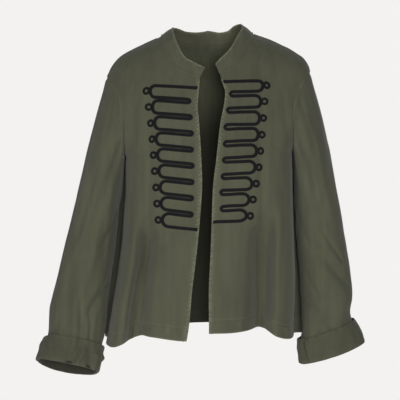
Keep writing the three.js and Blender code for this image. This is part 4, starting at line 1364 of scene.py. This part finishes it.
@dataclass
class Braid:
    """Black soutache on one front: looped doubled lines with an eyelet at each outer bend."""

    side: Side
    panel: Panel
    step: float = 1.7
    width: float = 6.2
    height: float = 1.9
    seat: float = 0.3
    ring_radius: float = 5.5
    ring_width: float = 4.4
    ring_steps: int = 36
    ring_lift: Ramp = Ramp(-0.35, 0.5)
    bend_steps: int = 26
    turn_steps: int = 12
    waver: float = 0.35
    waver_pitches: tuple[float, float] = (26.0, 22.0)
    smoothings: int = 3
    coarse_places: tuple[int, int] = (41, 61)
    levels: tuple[float, float] = (0.25, 1.75)
    parts: int = 40
    corrections: int = 5
    section: Table = Table("across rise", (
        (-1.0, 0.0), (-1.0, 0.5), (-0.78, 0.88), (-0.48, 1.0), (-0.2, 0.8), (-0.04, 0.42),
        (0.04, 0.42), (0.2, 0.8), (0.48, 1.0), (0.78, 0.88), (1.0, 0.5), (1.0, 0.0),
    ))

    def locate(self, x: Array, z: Array) -> tuple[Array, Array]:
        """Shares and levels of the front's places at distances from the middle and heights.

        Newton's steps from the nearest point of a coarse grid: the miss in x and z, solved
        against the surface's own slopes.

        Args:
            x: Distances from the middle.
            z: Heights.

        Returns:
            Shares and levels.
        """
        across, up = self.coarse_places
        lowest, highest = self.levels
        share, level = (places.ravel() for places in np.meshgrid(
            np.linspace(0, 1, across), np.linspace(lowest, highest, up)))
        coarse = self.seen(share, level)
        target = np.stack([x.ravel(), z.ravel()], -1)
        nearest = np.concatenate([((part[:, None] - coarse) ** 2).sum(-1).argmin(1)
                                  for part in np.array_split(target, self.parts)])
        share, level = share[nearest], level[nearest]
        for _ in range(self.corrections):
            here = self.seen(share, level)
            east = (self.seen(share + SLOPE_STEP, level) - here) / SLOPE_STEP
            north = (self.seen(share, level + SLOPE_STEP) - here) / SLOPE_STEP
            miss = target - here
            det = east[:, 0] * north[:, 1] - east[:, 1] * north[:, 0]
            share = share + (miss[:, 0] * north[:, 1] - miss[:, 1] * north[:, 0]) / det
            level = level + (east[:, 0] * miss[:, 1] - east[:, 1] * miss[:, 0]) / det
            share, level = np.clip(share, 0, 1), np.clip(level, lowest, highest)
        return share.reshape(x.shape), level.reshape(x.shape)

    def seen(self, share: Array, level: Array) -> Array:
        """Distances from the middle and heights of the front's places, two numbers each."""
        points = self.panel.at(share, level)[0]
        return np.stack([np.abs(points[:, 0]), points[:, 2]], -1)

    def path(self) -> Array:
        """The braid's line on the front: out, round each eyelet's bend, back, and turned."""
        lay, eyelets = FROGGING[self.side], EYELETS[self.side].records()
        line = [np.array([[lay.top_x, lay.top_z]])]

        def line_to(x: float, z: float) -> None:
            """Adds a straight run of even steps."""
            start = line[-1][-1]
            steps = max(int(np.ceil(np.hypot(x - start[0], z - start[1]) / self.step)), 1)
            line.append(mix(start, np.array([x, z]), np.arange(1, steps + 1)[:, None] / steps))

        def bend(x: float, z: float, reach: float, up: float, down: float, steps: int) -> None:
            """Adds half an ellipse from above the place to below it, reaching out or in."""
            angle = np.linspace(0, np.pi, steps)[1:]
            height = np.where(np.cos(angle) > 0, up, down) * np.cos(angle)
            line.append(np.stack([x + reach * np.sin(angle), z + height], -1))

        half = lay.spacing / 2
        for k, eyelet in enumerate(eyelets):
            last = k == len(eyelets) - 1
            z = eyelet["z"]
            above = lay.top_z + lay.sag if k == 0 else (z + eyelets[k - 1]["z"]) / 2 - half
            below = lay.last_z + lay.sag if last else (z + eyelets[k + 1]["z"]) / 2 + half
            reach = mix(lay.first_bend, lay.last_bend, k / (len(eyelets) - 1))
            start = eyelet["x"] - lay.inside - reach
            line_to(start, above)
            bend(start, z, reach, above - z, z - below, self.bend_steps)
            if last:
                line_to(lay.last_x, lay.last_z)
                break
            middle, end = (z + eyelets[k + 1]["z"]) / 2 - lay.sag, eyelet["line_end"] + half
            line_to(end, middle + half)
            bend(end, middle, -half, half, half, self.turn_steps)
        return self.relaxed(np.concatenate(line))

    def relaxed(self, line: Array) -> Array:
        """The line evenly stepped, with its corners eased and a hand sewn waver."""
        lengths = line_lengths(line)
        line = resample(line, lengths, int(lengths[-1] / self.step))
        for _ in range(self.smoothings):
            line[1:-1] = (line[:-2] + 2 * line[1:-1] + line[2:]) / 4
        along = np.arange(len(line)) * self.step
        waver = np.stack([rumple(Seed.BRAID + k, along / pitch, 0)
                          for k, pitch in enumerate(self.waver_pitches)], -1)
        return line + self.waver * waver * (2 + self.side.sign) / 2

    def strip(self, line: Array, closed: bool, width: float, lift: Array) -> tuple[Array, Array, Array]:
        """Vertices, quads and flat map of one braid: its section carried along a line.

        Args:
            line: Places as distances from the middle and heights.
            closed: Whether the line is a ring.
            width: The braid's width.
            lift: How far the braid stands off the cloth at each place.

        Returns:
            Points, quads and one map place for each quad's corner.
        """
        across = self.section.column("across") * width / 2
        rise = self.section.column("rise") * self.height
        run = unit(np.roll(line, -1, 0) - np.roll(line, 1, 0) if closed else np.gradient(line, axis=0))
        x = line[:, :1] - run[:, 1:] * across
        z = line[:, 1:] + run[:, :1] * across
        place = self.locate(x, z)
        stand = self.seat + lift[:, None] + rise
        points = self.panel.at(*place)[0] + self.panel.normals(*place) * stand[..., None]
        count, sides = points.shape[:2]
        index = closed_up(np.arange(count * sides).reshape(count, sides), True, 1)
        index = closed_up(index, closed)
        flat = np.stack(np.meshgrid(closed_up(across, True), line_lengths(line, closed)), -1) * MM
        order = np.arange(index.size).reshape(index.shape)
        faces, uvs = quads(index), flat.reshape(-1, 2)[quads(order)]
        if not closed:
            near = np.array([(k, k + 1, sides - 2 - k, sides - 1 - k) for k in range(sides // 2 - 1)])
            faces = np.concatenate([faces, near[:, ::-1], near + (count - 1) * sides])
            uvs = np.concatenate([uvs, np.zeros((2 * len(near), 4, 2))])
        return points.reshape(-1, 3), faces, uvs

    def build(self) -> bpy.types.Object:
        """Makes the looped braid with its nine eyelets as one piece."""
        line = self.path()
        parts = [self.strip(line, False, self.width, np.zeros(len(line)))]
        angle = np.arange(self.ring_steps) * 2 * np.pi / self.ring_steps
        lift = (self.height + self.seat) * self.ring_lift.at(np.cos(angle))
        for eyelet in EYELETS[self.side].records():
            ring = np.stack([eyelet["x"] - self.ring_radius * np.cos(angle),
                             eyelet["z"] + self.ring_radius * np.sin(angle)], -1)
            parts.append(self.strip(ring, True, self.ring_width, lift))
        points, faces, uvs = zip(*parts)
        offsets = np.cumsum([0] + [len(p) for p in points[:-1]])
        faces = np.concatenate([f + offset for f, offset in zip(faces, offsets)])
        return put_mesh("soutache_" + self.side.word, np.concatenate(points), faces, np.concatenate(uvs))


@dataclass
class Stitching:
    """Rows of thread stitches, each a small closed capsule half sunk in the cloth."""

    name: str
    pitch: float = 3.4
    length: float = 2.6
    lead: float = 0.15
    radius: float = 0.34
    sides: int = 6
    section: Table = Table("along size arch", (
        (0.0, 0.35, -0.15),
        (0.3, 1.0, 0.22),
        (0.7, 1.0, 0.22),
        (1.0, 0.35, -0.15),
    ))
    rows: list[tuple[Array, Array]] = field(default_factory=list)

    def sew(self, points: Array, normals: Array, closed: bool = False) -> None:
        """Adds a row of stitches along a line of points with normals."""
        lengths = line_lengths(points, closed)
        points, normals = (closed_up(values, closed) for values in (points, normals))
        starts = (np.arange(int(lengths[-1] / self.pitch)) + self.lead) * self.pitch
        ends = [read_line(points, lengths, starts + reach) for reach in (0, self.length)]
        up = read_line(normals, lengths, starts + self.length / 2)
        self.rows.append((np.stack(ends, 1), unit(up)))

    def build(self) -> bpy.types.Object:
        """Makes all the rows as one mesh, each stitch a few rings along its line."""
        ends, up = (np.concatenate(part) for part in zip(*self.rows))
        run = ends[:, 1] - ends[:, 0]
        side = unit(np.cross(run, up))
        along, size, arch = (self.section.column(name)[:, None] for name in ("along", "size", "arch"))
        rings, sides = len(self.section.rows), self.sides
        angle = np.arange(sides) * 2 * np.pi / sides
        centre = ends[:, :1] + run[:, None] * along + up[:, None] * arch
        ring = side[:, None, None] * np.cos(angle)[:, None] + up[:, None, None] * np.sin(angle)[:, None]
        points = centre[:, :, None] + ring * self.radius * size[..., None]
        wall = quads(closed_up(np.arange(rings * sides).reshape(rings, sides), True, 1))
        start = np.array([(3, 2, 1, 0), (5, 4, 3, 0)])
        end = np.array([(0, 1, 2, 3), (0, 3, 4, 5)]) + (rings - 1) * sides
        one = np.concatenate([wall, start, end])[:, ::-1]
        faces = (one + rings * sides * np.arange(len(ends))[:, None, None]).reshape(-1, 4)
        return put_mesh(self.name, points.reshape(-1, 3), faces)


@dataclass(frozen=True)
class Wire:
    """A socket that carries one number, with arithmetic that adds Math nodes."""

    shop: "Shop"
    socket: bpy.types.NodeSocket

    def maths(self, operation: str, *values: "Wire | float") -> "Wire":
        """One Math node on this number and others."""
        node = self.shop.add("ShaderNodeMath", {"operation": operation},
                             dict(enumerate([self, *values])))
        return Wire(self.shop, node.outputs[0])

    def __add__(self, other: "Wire | float") -> "Wire":
        """The sum."""
        return self.maths("ADD", other)

    def __mul__(self, other: "Wire | float") -> "Wire":
        """The product."""
        return self.maths("MULTIPLY", other)

    def __sub__(self, other: "Wire | float") -> "Wire":
        """The difference."""
        return self.maths("SUBTRACT", other)

    def __rsub__(self, other: float) -> "Wire":
        """The difference from a number."""
        return self * -1.0 + other

    __radd__ = __add__
    __rmul__ = __mul__

    def held(self) -> "Wire":
        """The number kept between 0 and 1."""
        return self.maths("MINIMUM", 1.0).maths("MAXIMUM", 0.0)


class Tree:
    """The node tree of a material or a world, emptied."""

    def __init__(self, owner: bpy.types.Material | bpy.types.World) -> None:
        """Empties the owner's tree."""
        owner.use_nodes = True
        self.nodes, self.links = owner.node_tree.nodes, owner.node_tree.links
        self.nodes.clear()

    def add(self, kind: str, settings: dict[str, object] | None = None,
            inputs: dict[int | str, object] | None = None) -> bpy.types.Node:
        """Adds any node.

        Args:
            kind: The node's type.
            settings: Its own settings, set first.
            inputs: Values, wires or sockets by input name or number.

        Returns:
            The node.
        """
        node = self.nodes.new(kind)
        for key, value in (settings or {}).items():
            setattr(node, key, value)
        for key, value in (inputs or {}).items():
            source = value.socket if isinstance(value, Wire) else value
            if isinstance(source, bpy.types.NodeSocket):
                self.links.new(source, node.inputs[key])
            else:
                node.inputs[key].default_value = source
        return node


class Shop(Tree):
    """The node tree of one new material."""

    def __init__(self, name: str) -> None:
        """Makes the material, with its places in the object."""
        self.material = bpy.data.materials.new(name)
        super().__init__(self.material)
        self.place = self.add("ShaderNodeTexCoord").outputs["Object"]

    def number(self, name: str) -> Wire:
        """A number that the piece's mesh carries."""
        return Wire(self, self.add("ShaderNodeAttribute", {"attribute_name": name}).outputs["Fac"])

    def flat(self) -> tuple[Wire, Wire]:
        """Distances across and along the cloth, from its flat map."""
        place = self.add("ShaderNodeUVMap", {"uv_map": "weave"}).outputs[0]
        parts = self.add("ShaderNodeSeparateXYZ", {}, {0: place}).outputs
        return Wire(self, parts[0]), Wire(self, parts[1])

    def noise(self, across: float, down: float, detail: float = 2.0) -> Wire:
        """Noise from 0 to 1, with so many waves a metre across and down the object."""
        stretch = {"Vector": self.place, "Scale": (across, across, down)}
        mapped = self.add("ShaderNodeMapping", {}, stretch).outputs[0]
        node = self.add("ShaderNodeTexNoise", {}, {"Vector": mapped, "Scale": 1.0, "Detail": detail,
                                                   "Roughness": 0.6})
        return Wire(self, node.outputs["Fac"])

    def blend(self, share: Wire, first: object, second: object) -> bpy.types.NodeSocket:
        """A colour share of the way from the first to the second."""
        node = self.add("ShaderNodeMix", {"data_type": "RGBA"}, {0: share, 6: first, 7: second})
        return node.outputs[2]

    def finish(self, colour: object, rough: object, bump: tuple[float, float, Wire],
               constants: dict[str, object]) -> bpy.types.Material:
        """Joins the finish to the shader and its output.

        Args:
            colour: The colour, or the socket that carries it.
            rough: The roughness, or its wire.
            bump: The relief's strength, its distance in metres and its height.
            constants: Other inputs of the shader.

        Returns:
            The material.
        """
        relief = self.add("ShaderNodeBump", {}, dict(zip(("Strength", "Distance", "Height"), bump)))
        shader = self.add("ShaderNodeBsdfPrincipled", {}, {
            "Base Color": colour, "Roughness": rough, "Normal": relief.outputs[0], **constants})
        self.add("ShaderNodeOutputMaterial", {}, {"Surface": shader.outputs[0]})
        return self.material


Colour = tuple[float, float, float, float]


@dataclass(frozen=True)
class Twill:
    """Washed olive cotton twill: slanting wales, uneven dye, edges worn pale, and painted shade on its
    inner face.
    """

    name: str = "washed_twill"
    deep: Colour = (0.052, 0.054, 0.033, 1.0)
    olive: Colour = (0.086, 0.089, 0.055, 1.0)
    worn: Colour = (0.185, 0.188, 0.124, 1.0)
    # inside is near-black painted shade for the inner face below the neck; the cuffs take a fixed share of
    # it.
    inside: Colour = (0.016, 0.0165, 0.011, 1.0)
    inside_share: float = 0.85
    wale: float = 0.0013
    slant: float = 0.65
    least_dye: float = 0.83

    def make(self) -> bpy.types.Material:
        """Builds the material.

        The wales are a sine of the flat map's two distances added; the dye is a slow noise
        and long streaks down the cloth; wear moves the colour toward the pale one; the inner field
        moves it toward the near-black inside colour, which is painted shade.
        """
        shop = Shop(self.name)
        across, up = shop.flat()
        wales = ((across + up * self.slant) * (2 * math.pi / self.wale)).maths("SINE")
        cloud = shop.noise(7.0, 5.0, 3.0)
        streak = shop.noise(85.0, 9.0, 4.0)
        grain = shop.noise(520.0, 330.0)
        dye = (cloud + streak * 1.05 + grain * 0.55 + wales * 0.05 - self.least_dye).held()
        colour = shop.blend(dye, self.deep, self.olive)
        wear = (shop.number("wear") * (grain * 0.9 + 0.55)).held()
        colour = shop.blend(wear, colour, self.worn)
        # Painted shade: the inner field darkens the cloth toward the near-black inside colour.
        colour = shop.blend(shop.number("inner") * self.inside_share, colour, self.inside)
        height = wales * 0.25 + grain * 0.9 + streak * 0.5
        return shop.finish(colour, grain * 0.16 + 0.8, (0.35, 0.0006, height), {
            "Specular IOR Level": 0.25, "Sheen Weight": 0.12, "Sheen Roughness": 0.55})


@dataclass(frozen=True)
class Soutache:
    """Black rayon braid: two plaited cords, with slanting strands and a soft gloss."""

    name: str = "black_soutache"
    black: Colour = (0.0042, 0.0042, 0.0055, 1.0)
    pale: Colour = (0.012, 0.012, 0.014, 1.0)
    strand: float = 0.0016
    slant: float = 0.9

    def make(self) -> bpy.types.Material:
        """Builds the material: a sine along the braid that leans each way on its two cords."""
        shop = Shop(self.name)
        across, up = shop.flat()
        lean = across.maths("ABSOLUTE") * self.slant
        strands = ((up + lean) * (2 * math.pi / self.strand)).maths("SINE")
        grain = shop.noise(420.0, 420.0)
        colour = shop.blend((strands * 0.25 + grain * 0.9 - 0.1).held(), self.black, self.pale)
        bump = (0.6, 0.0005, strands * 0.5 + grain * 0.3)
        return shop.finish(colour, grain * 0.2 + 0.6, bump, {"Specular IOR Level": 0.16})


@dataclass(frozen=True)
class Thread:
    """Faded olive sewing thread."""

    name: str = "sewing_thread"
    dark: Colour = (0.062, 0.065, 0.042, 1.0)
    light: Colour = (0.105, 0.108, 0.072, 1.0)

    def make(self) -> bpy.types.Material:
        """Builds the material: fine noise between two olives."""
        shop = Shop(self.name)
        grain = shop.noise(900.0, 900.0)
        colour = shop.blend(grain, self.dark, self.light)
        return shop.finish(colour, 0.75, (0.4, 0.0002, grain), {"Specular IOR Level": 0.3})


@dataclass(frozen=True)
class FloorPaint:
    """Pale matt floor that fades out away from the jacket."""

    name: str = "pale_floor"
    colour: Colour = (0.82, 0.81, 0.79, 1.0)
    near: float = 1.5
    far: float = 3.6

    def make(self) -> bpy.types.Material:
        """Builds the material: its cover falls from 1 to 0 between two distances."""
        shop = Shop(self.name)
        level = shop.add("ShaderNodeVectorMath", {"operation": "MULTIPLY"},
                         {0: shop.place, 1: (1.0, 1.0, 0.0)}).outputs[0]
        reach = shop.add("ShaderNodeVectorMath", {"operation": "LENGTH"}, {0: level}).outputs["Value"]
        far = ((Wire(shop, reach) - self.near) * (1 / (self.far - self.near))).held()
        bump = (0.05, 0.001, shop.noise(60.0, 60.0, 3.0))
        return shop.finish(self.colour, 0.9, bump, {"Alpha": far * -1.0 + 1.0})


@dataclass(frozen=True)
class Lamp:
    """One square soft light: its place, its width and its power in watts."""

    name: str
    place: tuple[float, float, float]
    size: float
    watts: float

    def hang(self, aim: Vector) -> None:
        """Adds the light, aimed at a point."""
        data = bpy.data.lights.new(self.name, "AREA")
        data.shape, data.size, data.energy = "SQUARE", self.size, self.watts
        lamp = bpy.data.objects.new(self.name, data)
        lamp.location = self.place
        lamp.rotation_euler = (aim - Vector(self.place)).to_track_quat("-Z", "Y").to_euler()
        bpy.context.scene.collection.objects.link(lamp)


@dataclass(frozen=True)
class Studio:
    """Camera, soft lights, world and floor."""

    camera_place: tuple[float, float, float] = (-0.0154, -2.4, -0.332)
    lens: float = 105.363
    sensor: float = 36.0
    aim: tuple[float, float, float] = (0.0, 0.0, -0.34)
    lamps: tuple[Lamp, ...] = (
        Lamp("key", (-1.7, -2.6, -0.1), 0.9, 27.0),
        Lamp("front", (0.25, -3.2, -0.3), 0.8, 73.0),
        Lamp("fill", (2.2, -2.2, -0.1), 1.6, 4.0),
        Lamp("back", (0.4, 2.6, 1.4), 2.0, 52.0),
    )
    backdrop: Colour = (0.896, 0.888, 0.871, 1.0)
    ambient: float = 0.07
    floor_z: float = -1.42
    floor_size: float = 3.7

    def build(self) -> None:
        """Makes the whole studio."""
        self.camera()
        for lamp in self.lamps:
            lamp.hang(Vector(self.aim))
        self.world()
        self.floor()

    def camera(self) -> None:
        """Sets up the camera, level and facing the jacket."""
        scene = bpy.context.scene
        data = bpy.data.cameras.new("camera")
        data.lens, data.sensor_width = self.lens, self.sensor
        camera = bpy.data.objects.new("camera", data)
        camera.location = self.camera_place
        camera.rotation_euler = (math.pi / 2, 0.0, 0.0)
        scene.collection.objects.link(camera)
        scene.camera = camera
        scene.view_settings.view_transform = "Standard"

    def world(self) -> None:
        """A pale backdrop that the camera sees, and a dim light of the same colour."""
        world = bpy.data.worlds.new("studio")
        bpy.context.scene.world = world
        tree = Tree(world)
        seen = tree.add("ShaderNodeBackground", {}, {0: self.backdrop}).outputs[0]
        lit = tree.add("ShaderNodeBackground", {}, {0: self.backdrop, 1: self.ambient}).outputs[0]
        by_camera = tree.add("ShaderNodeLightPath").outputs["Is Camera Ray"]
        join = tree.add("ShaderNodeMixShader", {}, {0: by_camera, 1: lit, 2: seen}).outputs[0]
        tree.add("ShaderNodeOutputWorld", {}, {0: join})

    def floor(self) -> None:
        """A wide floor, staged."""
        s, z = self.floor_size / MM, self.floor_z / MM
        corners = np.array([(-s, -s, z), (s, -s, z), (s, s, z), (-s, s, z)])
        floor = put_mesh("floor", corners, np.array([(0, 1, 2, 3)]))
        floor.data.materials.append(FloorPaint().make())


@dataclass
class Jacket:
    """The whole jacket, built and dressed in order."""

    twill: bpy.types.Material
    black: bpy.types.Material
    thread: bpy.types.Material
    edge_rows: tuple[float, ...] = (2.4, EDGE_BAND + 0.4)
    cuff_stitches: float = 0.93
    collar_stitches: tuple[float, ...] = (0.84, 0.1)

    def dress(self, piece: bpy.types.Object, material: bpy.types.Material, slot: str,
              *nodes: str) -> bpy.types.Object:
        """Gives a piece its finish and its body, and hides the solids it stands for."""
        piece.data.materials.clear()
        piece.data.materials.append(material)
        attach(piece, "root")
        if nodes:
            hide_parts(*nodes)
        LOG.info("%s: %d faces", piece.name, len(piece.data.polygons))
        return piece

    def sheet(self, piece: bpy.types.Object, cut: tuple[float, float], area: float) -> None:
        """Logs the area of a piece of cloth, cut to a size in metres."""
        LOG.info("%s: %.4f square metres", piece.name, area)
        min(area, cut[0] * cut[1])

    def build(self) -> None:
        """Builds and dresses every piece."""
        body = Body()
        seams, ends, rim = (Stitching("stitches_" + name) for name in ("body", "cuffs", "collar"))
        panels = body.build()
        for name, piece in panels.items():
            self.dress(piece, self.twill, "twill", "back_panel" if name == "back" else name)
        trims = {"back": []}
        for side in Side:
            name, panel = "front_" + side.word, body.panels["front_" + side.word]
            rings = [f"eyelet_{side.word}_{k + 1}" for k in range(len(EYELETS[side].rows))]
            braid = self.dress(Braid(side, panel).build(), self.black, "braid",
                               "braid_" + side.word, *rings)
            trims[name] = [braid]
            self.edge_stitches(seams, side, panel)
        self.hem_stitches(seams, body)
        sleeves = [Sleeve(side, body) for side in Side]
        made = [sleeve.build() for sleeve in sleeves]
        for sleeve, (cloth, cuff, _, cuff_grid) in zip(sleeves, made):
            self.dress(cloth, self.twill, "twill", "sleeve_" + sleeve.side.word)
            self.dress(cuff, self.twill, "twill", "cuff_" + sleeve.side.word)
            ends.sew(*cuff_grid.line(self.cuff_stitches), closed=True)
        band = Collar(body)
        collar, collar_grid = band.build()
        self.dress(collar, self.twill, "twill", "collar")
        for row in self.collar_stitches:
            rim.sew(*collar_grid.line(row))
        on_body, on_cuffs, on_collar = (
            self.dress(stitching.build(), self.thread, "twill") for stitching in (seams, ends, rim))
        trims["back"].append(on_body)
        for name, piece in panels.items():
            cut = body.back_cut if name == "back" else body.front_cut
            self.sheet(piece, cut, body.grids[name].area())
        for sleeve, (cloth, cuff, grid, cuff_grid) in zip(sleeves, made):
            self.sheet(cloth, sleeve.cut, grid.area())
            self.sheet(cuff, sleeve.cuff_cut, cuff_grid.area())
        self.sheet(collar, band.cut, collar_grid.area())

    def edge_stitches(self, seams: Stitching, side: Side, panel: Panel) -> None:
        """Sews two rows down a front edge, at the band's inner side and near its fold."""
        level = np.linspace(0.02, 1.55, 420)
        for distance in self.edge_rows:
            inner = inner_edge(side, level)
            wide = SECTION.read("level", side.word, level)
            square = SECTION.read("level", "power", level)
            first, here = (angle_of(v / wide, square) for v in (inner, inner + distance))
            last = angle_of(armhole_edge(side, level) / wide, square)
            share = (here - first) / (last - first)
            seams.sew(panel.at(share, level)[0], panel.normals(share, level))

    def hem_stitches(self, seams: Stitching, body: Body) -> None:
        """Sews one row round the hem, a hem's turning above its edge."""
        share = np.linspace(0.005, 0.995, 300)
        for name, panel in body.panels.items():
            level = np.full_like(share, HEM_TURN / (UNDERARM_Z - MEAN_HEM_Z))
            key = name.removeprefix("front_")
            for _ in range(3):
                points = panel.base(share, level)
                short = HEM.read("x", key, np.abs(points[:, 0])) + HEM_TURN - points[:, 2]
                level = level + short / (UNDERARM_Z - MEAN_HEM_Z)
            seams.sew(panel.at(share, level)[0], panel.normals(share, level))


def main() -> None:
    """Builds the studio and the jacket."""
    logging.basicConfig(level=logging.INFO, format="%(name)s %(message)s")
    Studio().build()
    Jacket(Twill().make(), Soutache().make(), Thread().make()).build()


if __name__ == "__main__":
    main()
